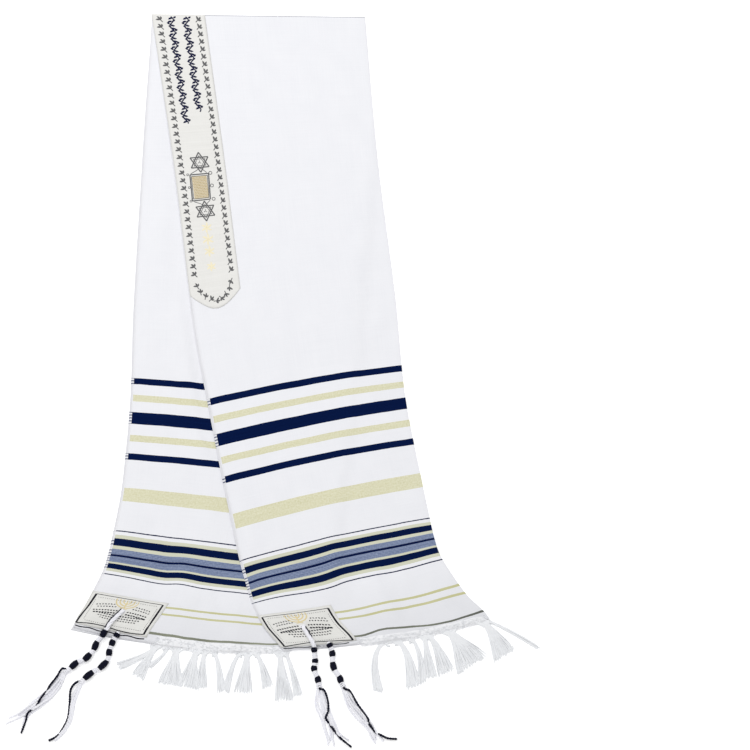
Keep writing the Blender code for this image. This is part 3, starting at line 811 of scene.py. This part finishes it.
def band_ornament(finishes):
    border = Stitching(on_band)
    for number in range(34):
        y = 4.0 + 11.2 * number
        sprig(border, (11.0, y + 2.5), -0.7, 6.8)
        sprig(border, (61.0, y + 2.5), 0.7, 6.8)
    round_end = ((12.0, 393, -0.4), (15.5, 402, -0.1), (21.5, 409, 0.3), (28.5, 413.5, 0.9),
                 (36.0, 416.5, 1.57), (43.5, 413, 2.3), (50.5, 408, 2.8), (57.0, 400, 3.2),
                 (60.5, 391, 3.6))
    for x, y, turn in round_end:
        sprig(border, (x, y), turn, 6.2)
    star(border, (36.5, 216.0), 14.6)
    star(border, (36.0, 287.0), 14.6)
    panel = ((20.5, 233.0), (47.0, 233.0), (45.0, 270.5), (19.5, 270.5))
    middle = Vector((33.0, 251.8))
    for shrink, width in ((0.0, 1.8), (0.14, 1.1)):
        border.outline([Vector(corner).lerp(middle, shrink) for corner in panel], width)
    for y in (232.5, 251.0, 270.5):
        border.ring((49.6, y), 2.2, 1.0)
        border.ring((17.4, y), 1.4, 0.9)
    for y, tip in ((231.5, 224.0), (272.0, 279.0)):
        border.stroke([(22.0, y), (30.0, (y + tip) / 2), (35.5, tip)], 1.0)
        border.stroke([(44.5, y), (40.5, (y + tip) / 2), (37.0, tip)], 1.0)
    border.piece("neckband_grey_border", finishes["grey"], "neckband", "neckband")

    vine = Stitching(on_band)
    for x, length in ((25.5, 158.0), (45.5, 141.0)):
        vine.stroke([(x + 3.0 * math.sin(2 * math.pi * step * 1.5 / 19.0), 1.5 + step * 1.5)
                     for step in range(int(length / 1.5) + 1)], 1.8)
        for number in range(int(length / 4.75)):
            y = 3.5 + number * 4.75
            side = -1.0 if number % 4 < 2 else 1.0
            middle = x + 3.0 * math.sin(2 * math.pi * y / 19.0)
            vine.leaf((middle, y), side * 1.9, 7.2, 3.1)
            vine.leaf((middle, y), -side * 1.0, 4.6, 2.9)
    vine.piece("neckband_navy_vine", finishes["navy"], "neckband", "neckband")

    ground = Stitching(on_band)
    for row in range(15):
        y = 236.2 + row * 2.24
        ground.stroke([(22.8 + step * 3.45, y) for step in range(7)], 2.0, rise=0.12)
    ground.piece("neckband_tan_ground", finishes["tan"], "neckband", "neckband")
    flowers = Stitching(on_band)
    for y, reach in ((311.0, 8.0), (328.0, 9.0), (345.0, 8.0), (367.0, 7.0)):
        for turn in (0.0, 1.05, -1.05, 2.1, -2.1, math.pi):
            flowers.leaf((35.0, y), turn, reach, 3.0)
        flowers.ring((35.0, y), 2.0, 0.8)
    flowers.piece("neckband_pale_flowers", finishes["pale_gold"], "neckband", "neckband")

    marks = Stitching(on_band)
    for row in range(13):
        for column in range(9):
            x, y = 24.6 + column * 2.2 + 0.9 * (row % 2), 238.0 + row * 2.3
            marks.stroke([(x, y - 0.6), (x, y), (x, y + 0.6)], 0.5, rise=0.42)
    marks.piece("neckband_scroll_marks", finishes["brown"], "neckband", "neckband")


def patch_ornament(side, leg, finishes):
    """Lined border, branched lamp and plain rows of seed stitches round the eyelet."""
    node = f"corner_patch_{side}"
    low_x, high_x, low_y, high_y = FINE_BORDER
    dark = Stitching(on_patch(leg))
    corners = [Vector(corner) for corner in PATCH_BORDERS[side]]
    arch, wave = PATCH_WAVES[side]
    for number, width in enumerate((1.4, 3.0, 1.0, 3.0)):
        line = [corners[number].lerp(corners[(number + 1) % 4], part / 24) for part in range(25)]
        if number == 0:
            for part, point in enumerate(line):
                turn = math.pi * part / 24
                point.y += arch * math.sin(turn) + wave * math.sin(2.0 * turn)
        dark.stroke(line, width)
    fine = Stitching(on_patch(leg))
    for number in range(27):
        for y in (low_y + 4.0, high_y - 4.0):
            x = low_x + 6.0 + number * 3.1
            fine.stroke([(x, y), (x + 0.7, y), (x + 1.4, y)], 0.7)
    for number in range(15):
        for x in (low_x + 4.0, high_x - 4.0):
            y = low_y + 6.0 + number * 3.0
            fine.stroke([(x, y), (x, y + 0.7), (x, y + 1.4)], 0.7)
    for y, start, end, width in SEED_ROWS:
        for number in range(int((end - start) / SEED_PITCH) + 1):
            x = start + number * SEED_PITCH
            middle = y - 0.0035 * (x - 53.0) ** 2 * (1.0 if y > 30.0 else -0.6)
            slant = 0.55 * width * (-1) ** number
            dark.stroke([(x, middle - slant), (x + 1.2, middle), (x + 2.4, middle + slant)],
                        width * 1.25 + 0.3, leaf=True)
    dark.piece(f"{node}_dark_stitching", finishes["grey_dark"], "corner_patch", node)
    fine.piece(f"{node}_fine_border", finishes["grey"], "corner_patch", node)

    lamp = Stitching(on_patch(leg))
    middle, top, foot = LAMP_MIDDLE[side], 57.0, 43.5
    lamp.stroke([(middle, foot), (middle, 50.0), (middle, top)], 2.0)
    for reach in (5.0, 10.0, 15.0):
        for hand in (-1.0, 1.0):
            arm = [(middle + hand * reach * math.sin(turn),
                    top - (top - foot - 2.0) * reach / 15.0 * math.cos(turn))
                   for turn in (0.0, 0.35, 0.7, 1.05, 1.35, 1.57)]
            lamp.stroke(arm, 1.9)
            lamp.leaf((middle + hand * reach, top), math.pi, 3.4, 2.2)
    lamp.leaf((middle, top), math.pi, 2.8, 1.6)
    lamp.stroke([(middle - 4.5, foot), (middle, foot + 0.4), (middle + 4.5, foot)], 1.4)
    lamp.piece(f"{node}_lamp", finishes["gold"], "corner_patch", node)


def painted_patch_shadow(side, leg, finishes):
    """Charcoal line drawn on the top sheet just below a corner patch's lower edge: painted shadow
    under the patch's edge.
    """
    corners = PATCH_CORNERS[side]

    def place(x, y, lift):
        share = x / 300.0
        part = share / corners[1][1]
        low = corners[0][0] + (corners[1][0] - corners[0][0]) * part
        return leg_top(leg, share, low - y, CLOTH_THICK / 2 - PANEL_THICK / 2 + lift)
    rim = Stitching(place)
    rim.stroke([(1.0 + step * 3.0, 1.9 + 0.5 * math.sin(step * 0.7)) for step in range(33)], 1.5)
    node = f"corner_patch_{side}"
    rim.piece(f"{node}_painted_shadow_line", finishes["grey_dark"], "corner_patch", node)


# Fringe: share of the hem, tip, spread at the tip, bow, and how many locks wide
UNDER_BUNCHES = (
    (0.378, -352, -411, 4, 4, 3), (0.395, -325, -427, 11, -2, 3), (0.435, -310, -412, 0, 3, 1),
    (0.480, -280, -438, 25, 0, 7), (0.575, -256, -442, 21, -2, 6), (0.612, -238, -442, 10, -2, 3),
    (0.645, -210, -448, 4, 4, 2), (0.775, -204, -447, 4, -5, 2), (0.803, -180, -449, 17, -1, 5),
    (0.835, -146, -441, 8, 3, 3), (0.945, -124, -460, 18, 0, 5), (0.968, -104, -453, 5, 2, 2),
)
OVER_BUNCHES = (
    (0.500, 4, -447, 5, -14, 4), (0.532, 53, -441, 11, 8, 5), (0.600, 65, -436, 4, 7, 2),
    (0.672, 77, -428, 9, 0, 4), (0.688, 98, -422, 14, 4, 5), (0.790, 134, -411, 38, 2, 10),
    (0.958, 178, -398, 24, 3, 7), (0.980, 226, -387, 0, 2, 1),
)
STRIP_START, STRIP_END = 0.367, 0.985
STRIP_MIDDLE = 1.2
# Distance below the hem at which the strip starts, and its width
STRIP_TOP, STRIP_WIDTH = -11.5, 15.1
FRINGE_THREAD = 0.74
BUNCH_STEPS = 10


def strip_share(part, count=1):
    """Share of the hem's width at a part of the strip's length."""
    return STRIP_START + (STRIP_END - STRIP_START) * part / count


def hem_strip(side, leg, bunches, finishes):
    """Turned hem below the woven end, pulled down a little where the fringe leaves it."""
    def point_at(across, along):
        share = strip_share(along)
        pull = sum(math.exp(-((share - bunch[0]) * 300.0 / (5.0 + bunch[5])) ** 2)
                   for bunch in bunches)
        depth = STRIP_TOP + across * (STRIP_WIDTH + 2.4 * min(1.0, pull))
        place = on_leg(leg, share, -depth)
        swell = 0.35 * noise.noise(Vector((place.x / 7.0, place.y / 7.0, 4.0)))
        wrinkle = noise.noise(Vector((share * 22.0, depth / 2.6 + share * 9.0, 6.0)))
        top = leg_top(leg, share, max(0.0, -depth), 0.15).z
        top += 0.75 * max(0.0, wrinkle) * smooth_step(across * 8.0)
        shown = smooth_step(min(along / 0.06, (1.0 - along) / 0.02, across / 0.2))
        top -= 0.75 * (1.0 - shown)
        height = STRIP_MIDDLE + 0.3 + swell
        height += (top - height) * (1.0 - smooth_step((depth + 1.4) / 4.0))
        return Vector((place.x, place.y, height)), (share * FLAT_WIDTH / 2, -depth * MM + 0.005)
    strip = bent_grid(f"hem_{side}", 18, 220, point_at, 0.9)
    return settle(strip, finishes["hem"], "fringe", f"fringe_{side}")


def bunch_threads(leg, bunch, chance):
    """Threads gathered from the hem into a waist, then fanned out like a flat ribbon."""
    root, tip_x, tip_y, spread, bow, locks = bunch
    count = 6 * locks + 4
    foot = on_leg(leg, root, -3.2)
    way = Vector((tip_x, tip_y)) - foot
    length = way.length
    along = way / length
    side = Vector((-along.y, along.x))
    waist = 7.0 / length
    routes = []
    for number in range(count):
        rank = number / (count - 1) - 0.5
        start = on_leg(leg, root + rank * (7.0 + 1.8 * locks) / 290.0, -1.6)
        reach = length * (1.0 - chance.uniform(0.0, 0.07))
        wander = [chance.uniform(-1.0, 1.0) for _ in range(3)]
        layer = number % 3
        route = []
        for step in range(BUNCH_STEPS + 1):
            part = step / BUNCH_STEPS
            spot = foot + along * reach * part
            fan = smooth_step((part - waist) / (1.0 - waist)) * 0.45 + 0.55 * part
            across = rank * (2.2 + 0.55 * locks + (spread + 3.0) * fan)
            across += bow * 4.0 * part ** 0.6 * (1.0 - part ** 0.6)
            across += part * (wander[0] * 0.9 * math.sin(3.0 * part + wander[1] * 3.0)
                              + wander[2] * 0.7)
            spot = spot + side * across
            if step == 0:
                spot = start
            height = 0.62 + 0.75 * layer + 0.5 * math.sin(math.pi * min(1.0, part / waist / 2))
            height -= 0.35 * layer * smooth_step((part - 0.5) * 2.0)
            radius = FRINGE_THREAD * (1.0 if step < BUNCH_STEPS else 0.7)
            route.append((Vector((spot.x, spot.y, height)), radius))
        routes.append(route)
    middle = foot + along * 5.0
    girth = (1.6 + 0.45 * locks) / 2 + 1.0
    wrap = []
    for step in range(21):
        turn = 2 * math.pi * step / 10
        spot = middle + side * girth * math.cos(turn) + along * (step / 20.0 - 0.5) * 1.8
        wrap.append((Vector((spot.x, spot.y, 1.75 + 1.2 * math.sin(turn))), 0.45))
    routes.append(wrap)
    return routes


def fringe(side, leg, bunches, finishes):
    chance = random.Random(11)
    routes = []
    for bunch in bunches:
        routes += bunch_threads(leg, bunch, chance)
    for number in range(70):
        share = strip_share(number + chance.random(), 70)
        start, end = on_leg(leg, share, -1.0), on_leg(leg, share, -chance.uniform(3.5, 5.5))
        end = end + Vector((chance.uniform(-1.5, 1.5), 0.0))
        routes.append([(Vector((start.x, start.y, 1.1)), 0.4), (Vector((end.x, end.y, 0.8)), 0.3)])
    for number in range(220):
        share = strip_share(number + chance.random(), 220)
        depth, turn = chance.uniform(-9.0, 4.5), chance.uniform(0.0, 6.3)
        reach, loop = chance.uniform(1.2, 3.2), []
        foot = on_leg(leg, share, -depth)
        top = leg_top(leg, share, max(0.0, -depth), 0.3).z
        height = top + (1.9 - top) * smooth_step((depth + 1.4) / 4.0)
        for step in range(6):
            bend = turn + step * 0.55
            spot = foot + Vector((math.cos(bend), math.sin(bend) * 0.8)) * reach
            lift = 0.5 + 0.5 * math.sin(math.pi * step / 5)
            loop.append((Vector((spot.x, spot.y, height + lift)), 0.34))
        routes.append(loop)
    piece = threads(f"fringe_threads_{side}", routes)
    return settle(piece, finishes["fringe"], "fringe", f"fringe_{side}")


# Corner tassels in plan millimetres: the cord over the patch, or the share of the hem where it
# comes out from below; a navy strand beside the cord, by its offset and its first and last step;
# the two ends of each navy winding; the last knot; the loose strands' route on from the knot, a
# side route where they part, and how far they spread; and the one loose navy strand, whose third
# number says how far it lies above the white ones
TASSELS = {
    "under_front": {
        "cord": ((-347, -336), (-361, -350), (-367, -360)),
        "beside": (3.1, 3, 17),
        "windings": ((-369, -362), (-374, -371), (-380, -377), (-385, -389), (-389, -394),
                     (-398, -403), (-406, -405), (-416, -414)),
        "knot": (-424, -420),
        "strands": ((-432, -434), (-444, -448), (-457, -459), (-471, -469),
                    (-484, -478), (-503, -488)),
        "parted": ((-434, -438), (-448, -454), (-461, -465), (-472, -474),
                   (-478, -486), (-484, -500)),
        "navy": ((-420, -417, 1), (-427, -415, 1), (-434, -426, 1), (-443, -438, 1),
                 (-447, -444, 0), (-451, -450, 0.8), (-456, -457, 0.9), (-462, -467, 0.2),
                 (-472, -476, 1), (-475, -487, 0.6), (-481, -503, 0.1)),
    },
    "under_back": {
        "exit": 0.2,
        "windings": ((-352, -366), (-355, -371), (-358, -375), (-361, -383), (-363, -388),
                     (-364, -397), (-366, -404), (-377, -415), (-385, -419), (-397, -429)),
        "knot": (-401, -435),
        "spread": 0.55,
        "strands": ((-407, -447), (-412, -461), (-414, -474), (-416, -487),
                    (-424, -501), (-436, -512)),
        "navy": ((-399, -432, 1), (-408, -434, 0.5), (-415, -444, 0.4), (-416, -464, 0.4),
                 (-418, -483, 0.4), (-427, -501, 0.4), (-433, -508, 0.3), (-443, -513, 0.1)),
    },
    "over_front": {
        "cord": ((-98, -358), (-92, -368), (-86, -378)),
        "beside": (-3.0, 6, 14),
        "windings": ((-83, -386), (-83, -392), (-82, -401), (-82, -407), (-83, -411), (-83, -418),
                     (-79, -426), (-77, -434)),
        "knot": (-76, -441),
        "strands": ((-76, -462), (-70, -478), (-65, -494), (-62, -510), (-60, -522)),
        "parted": ((-70, -462), (-65, -478), (-58, -494), (-50, -505), (-38, -516)),
        "navy": ((-77, -437, 1), (-75, -443, 1), (-69, -445, 0.7), (-64, -460, 0.7),
                 (-64, -474, 0.7), (-67, -483, 0.9), (-62, -490, 0), (-57, -498, 1),
                 (-51, -505, 0.1), (-44, -513, 1), (-32, -522, 0.2)),
    },
    "over_back": {
        "exit": 0.232,
        "windings": ((-63, -380), (-61, -385), (-59, -390), (-58, -398), (-58, -406), (-55, -417),
                     (-49, -425), (-46, -434)),
        "knot": (-43, -440),
        "strands": ((-34, -462), (-22, -476), (-11, -491), (-2, -505), (7, -517)),
        "navy": ((-46, -436, 1), (-41, -443, 1), (-34, -446, 1), (-23, -465, 1), (-10, -483, 1),
                 (-9, -489, 0.1), (-6, -494, 1), (1, -502, 0), (8, -506, 0.8), (17, -510, 0.3),
                 (30, -511, 0.1)),
    },
}
SHAFT_HEIGHT = 4.85
CORE = 2.8
WINDING_THREAD = 0.62
KNOT_THREAD = 1.2
KNOT_PITCH = 2.2
# Twists: plies, their distance from the middle, their radius, and the length of one turn
CORD_TWIST = (4, 1.7, 1.5, 34.0)
SHAFT_TWIST = (4, 1.3, 1.4, 60.0)
STRAND_TWIST = (2, 0.7, 1.12, 9.0)
NAVY_TWIST = (2, 0.7, 1.2, 7.0)
# Steps of a cord's route and of a loose strand's
CORD_STEPS, STRAND_STEPS, NAVY_STEPS = 26, 40, 60


def curve_through(points, steps):
    rows = [(index, *point) for index, point in enumerate(points)]
    last = len(points) - 1
    return [Vector([table_value(rows, last * step / steps, 1 + axis)
                    for axis in range(len(points[0]))]) for step in range(steps + 1)]


def square_to(path, index):
    """Sideways and downward directions square to a route at one of its points."""
    last = len(path) - 1
    way = (path[min(index + 1, last)] - path[max(index - 1, 0)]).normalized()
    side = Vector((way.y, -way.x, 0.0)).normalized()
    return side, way.cross(side)


def twisted(path, plies, offset, radius, pitch):
    """Plies laid round a route, one turn every pitch."""
    routes = [[] for _ in range(plies)]
    travelled = 0.0
    for index, point in enumerate(path):
        if index:
            travelled += (point - path[index - 1]).length
        side, down = square_to(path, index)
        for ply in range(plies):
            turn = 2 * math.pi * (travelled / pitch + ply / plies)
            spot = point + side * offset * math.cos(turn) + down * offset * math.sin(turn)
            routes[ply].append((spot, radius))
    return routes


def coil(path, start, end, reach, pitch, radius, phase=0.0, bulge=0.0):
    """Thread wound round a route from one of its points to another."""
    lengths = [0.0]
    for first, second in zip(path, path[1:]):
        lengths.append(lengths[-1] + (second - first).length)
    span = lengths[end] - lengths[start]
    turns = max(1, round(span / pitch))
    route = []
    for step in range(turns * 10 + 1):
        at = lengths[start] + span * step / (turns * 10)
        index = max(number for number in range(len(path) - 1) if lengths[number] <= at + 1e-6)
        part = (at - lengths[index]) / (lengths[index + 1] - lengths[index])
        point = path[index].lerp(path[index + 1], part)
        side, down = square_to(path, index)
        turn = 2 * math.pi * step / 10 + phase
        girth = reach + bulge * math.sin(math.pi * step / (turns * 10))
        route.append((point + (side * math.cos(turn) + down * math.sin(turn)) * girth, radius))
    return route


def cord_route(leg, route, shaft):
    """Centre of the bare cord: from the eyelet over the patch, or out from below the hem."""
    if "exit" in route:
        start = on_leg(leg, route["exit"], 1.0)
        low = leg_top(leg, route["exit"], 1.0, 0.0)
        return [Vector((start.x, start.y, low.z + 1.9)), shaft[0], shaft[4]]
    height = INNER_MID if leg is UNDER_LEG else OUTER_MID
    hole = Vector(route["cord"][0])
    found = []
    for place, lift in zip([hole + Vector((1.2, 1.4))] + [Vector(p) for p in route["cord"]],
                           (-1.0, 2.3, 2.7, 3.0)):
        top = leg_height(leg, place, 20.0, height) + PANEL_RISE + PANEL_THICK / 2
        found.append(Vector((place.x, place.y, top + lift)))
    return found + [shaft[0], shaft[4]]


def shaft_route(route):
    """Even steps through the windings' ends and the last knot: four to each stretch."""
    points = [*route["windings"], route["knot"]]
    steps = curve_through(points, 4 * (len(points) - 1))
    rise = 3.4 if "cord" in route else 1.0
    return [Vector((point.x, point.y, SHAFT_HEIGHT + rise * (1.0 - smooth_step(index / 9.0))))
            for index, point in enumerate(steps)]


def loose_strand(path, rank, upper, start_height, reach, wave, spread):
    """Centre of one wavy strand beside the others, settling to its layer."""
    strand = []
    last = len(path) - 1
    for step in range(int(last * reach) + 1):
        part = step / last
        way = (path[min(step + 1, last)] - path[max(step - 1, 0)]).normalized()
        lateral = rank * (1.6 + 2.0 * math.sin(math.pi * min(1.0, part * 1.4)) + 1.2 * part)
        lateral += wave[2] * part
        lateral += wave[1] * part ** 0.5 * math.sin(13.0 * part + wave[0])
        lateral *= spread
        height = start_height + (upper - 0.5) * 1.6
        height += (1.9 + upper * 2.5 - height) * smooth_step(part * 2.5)
        height += 0.5 * math.sin(9.0 * part + 2.0 * wave[0])
        spot = path[step] + Vector((way.y, -way.x)) * lateral
        strand.append(Vector((spot.x, spot.y, max(1.8, height))))
    return strand


def tassel(name, leg, route, finishes):
    """Cord, wound shaft, seven white strands and the navy one."""
    node = f"tassel_{name}"
    chance = random.Random(len(name) * 7 + len(route["navy"]))
    shaft = shaft_route(route)
    cord = curve_through(cord_route(leg, route, shaft), CORD_STEPS)
    white = twisted(cord, *CORD_TWIST) + twisted(shaft, *SHAFT_TWIST)
    navy = []
    if "beside" in route:
        offset, first, last = route["beside"]
        raised = Vector((0.0, 0.0, 1.6))
        navy.append([(cord[index] + square_to(cord, index)[0] * offset + raised, 0.8)
                     for index in range(first, last)])
    pitch = 2 * WINDING_THREAD * 0.94
    for number in range(len(route["windings"]) // 2):
        low = 8 * number
        navy.append(coil(shaft, low, low + 4, CORE - 0.3, pitch, WINDING_THREAD, bulge=0.7))
        navy.append(coil(shaft, low, low + 4, CORE + 0.3, pitch, WINDING_THREAD, 1.5, bulge=1.1))
        white.append(coil(shaft, low + 4, low + 8, CORE - 0.5, KNOT_PITCH, KNOT_THREAD,
                          0.4 * number, bulge=0.7))
    last = len(shaft) - 1
    white.append(coil(shaft, last - 3, last, CORE + 0.6, KNOT_PITCH, KNOT_THREAD))
    routes = [curve_through([route["knot"], *route[key if key in route else "strands"]],
                            STRAND_STEPS) for key in ("strands", "parted")]
    for number in range(7):
        rank, upper = (number % 4) - 1.5, number // 4
        wave = chance.uniform(0.0, 6.3), chance.uniform(0.6, 1.3), chance.uniform(-1.5, 1.5)
        path = routes[1 if number in (0, 2, 5) else 0]
        reach = 1.0 - 0.05 * ((number * 3) % 4)
        strand = loose_strand(path, rank, upper, shaft[-1].z, reach, wave,
                              route.get("spread", 1.0))
        white += twisted(strand, *STRAND_TWIST)
    dark = [Vector((point.x, point.y, 1.85 + 5.3 * min(1.0, max(0.0, point.z))))
            for point in curve_through(route["navy"], NAVY_STEPS)]
    navy += twisted(dark, *NAVY_TWIST)
    settle(threads(f"{node}_white", white), finishes["strand"], "tassel", node)
    settle(threads(f"{node}_navy", navy), finishes["navy_yarn"], "tassel", node)


def eyelet(side, leg, finishes):
    """Stitched hole of a corner patch, where the tassel's cord comes through."""
    x, y = EYELETS[side]
    node = f"corner_patch_{side}"
    rim = Stitching(on_patch(leg))
    rim.ring((x, y), 3.4, 1.5, 20)
    rim.piece(f"{node}_eyelet", finishes["strand"], "corner_patch", node)
    # Painted shade: a near-black fill inside the ring, standing in for the shade in the eyelet's
    # hole.
    dark = Stitching(on_patch(leg))
    for step in range(5):
        across = x - 2.2 + step * 1.1
        dark.stroke([(across, y - 1.9), (across, y), (across, y + 1.9)], 1.2, rise=0.05)
    dark.piece(f"{node}_hole", finishes["navy_yarn"], "corner_patch", node)


# Satins and yarns: name, darkest and lightest colour, and the twill's turn or the roughness
SATINS = {
    "band": ("neckband_satin", (221, 220, 216), (236, 235, 232), 1.0),
    "patch": ("patch_satin", (218, 218, 214), (237, 236, 232), -1.0),
}
YARNS = {
    "hem": ("hem_cotton", (234, 235, 238), (251, 251, 253), 0.9),
    "grey": ("grey_stitching", (66, 66, 68), (120, 120, 121), 0.6),
    "grey_dark": ("charcoal_stitching", (8, 9, 16), (34, 35, 44), 0.7),
    "navy": ("navy_stitching", (4, 8, 36), (26, 32, 74), 0.7),
    "gold": ("gold_stitching", (204, 184, 130), (236, 222, 178), 0.45),
    "pale_gold": ("pale_gold_stitching", (232, 220, 184), (246, 239, 212), 0.5),
    "tan": ("tan_stitching", (190, 172, 130), (220, 204, 168), 0.55),
    "brown": ("brown_stitching", (110, 96, 72), (150, 134, 104), 0.6),
    "fringe": ("fringe_thread", (230, 232, 235), (249, 250, 252), 0.85),
    "strand": ("tassel_white", (233, 233, 243), (252, 252, 254), 0.8),
    "navy_yarn": ("tassel_navy", (3, 4, 18), (14, 18, 44), 0.7),
}


# The whole shawl
def shawl():
    finishes = {"cloth": woven_cloth()}
    for make, table in ((satin, SATINS), (yarn, YARNS)):
        for key, (name, dark, light, setting) in table.items():
            finishes[key] = make(name, paint(*dark), paint(*light), setting)
    rows = 2 * LEG_ROWS + CREASE_ROWS
    columns = 2 * SHEET_COLUMNS + HAIRPIN_COLUMNS
    cloth = bent_grid("folded_cloth", columns, rows, cloth_point, CLOTH_THICK)
    settle(cloth, finishes["cloth"], "shawl_cloth", "shawl_cloth")
    band = bent_grid("neckband_cloth", 24, 150, band_point, PANEL_THICK)
    settle(band, finishes["band"], "neckband", "neckband")
    band_ornament(finishes)
    carried = [band]
    for side, leg, bunches in (("under", UNDER_LEG, UNDER_BUNCHES),
                               ("over", OVER_LEG, OVER_BUNCHES)):
        patch = bent_grid(f"patch_cloth_{side}", 24, 14, patch_point(leg), PANEL_THICK)
        settle(patch, finishes["patch"], "corner_patch", f"corner_patch_{side}")
        patch_ornament(side, leg, finishes)
        eyelet(side, leg, finishes)
        painted_patch_shadow(side, leg, finishes)
        carried += [patch, hem_strip(side, leg, bunches, finishes),
                    fringe(side, leg, bunches, finishes)]
        for name in (f"{side}_front", f"{side}_back"):
            tassel(name, leg, TASSELS[name], finishes)


# Table top, light and camera. Lights: name, power, size, place and what it points at
LIGHTS = (("top_light", 44.0, 2.2, (-0.45, 1.1, 2.6), (0.0, 0.1, 0.0)),
          ("front_fill", 8.0, 2.0, (-0.4, -2.6, 1.7), (0.0, -0.3, 0.0)))
SKY_STRENGTH = 0.575


def table_top():
    start_clean()
    bpy.ops.mesh.primitive_plane_add(size=14.0)
    floor = bpy.context.object
    floor.name = floor.data.name = "table_top"
    surface = Finish("table_top", **{"Roughness": 0.9, "Specular IOR Level": 0.1})
    cloudy = surface.patchy(surface.object_place(), (0.7, 0.7, 0.7))
    white = surface.blend(cloudy, paint(253, 253, 253), paint(255, 255, 255))
    surface.feed(surface.shader, {"Base Color": white, "Emission Color": white,
                                  "Emission Strength": 0.3})
    floor.data.materials.append(surface.material)
    start_clean()


def light(name, power, size, place, target):
    bpy.ops.object.light_add(type="AREA", location=place)
    lamp = bpy.context.object
    lamp.name = name
    lamp.data.energy, lamp.data.size = power, size
    lamp.rotation_euler = (Vector(target) - Vector(place)).to_track_quat("-Z", "Y").to_euler()
    start_clean()


def studio():
    world = bpy.data.worlds.new("studio")
    bpy.context.scene.world = world
    world.use_nodes = True
    sky = world.node_tree.nodes["Background"]
    sky.inputs["Color"].default_value = WHITE
    sky.inputs["Strength"].default_value = SKY_STRENGTH
    for values in LIGHTS:
        light(*values)
    view = bpy.context.scene.view_settings
    view.view_transform = "Standard"
    view.look = "None"


def camera():
    data = bpy.data.cameras.new("photo_camera")
    data.sensor_width = SENSOR
    data.lens = PIXELS_PER_MM * CAMERA_DISTANCE / PHOTO_PIXELS * SENSOR
    data.clip_start, data.clip_end = 0.1, 50.0
    piece = bpy.data.objects.new("photo_camera", data)
    bpy.context.scene.collection.objects.link(piece)
    lean = math.radians(CAMERA_ELEVATION)
    away = Vector((0.0, -math.cos(lean), math.sin(lean))) * CAMERA_DISTANCE * MM
    piece.location = in_frame(Vector((0.0, CAMERA_LIFT, 0.0))) + away
    piece.rotation_euler = (math.pi / 2 - lean, 0.0, 0.0)
    bpy.context.scene.camera = piece


camera()
studio()
table_top()
shawl()
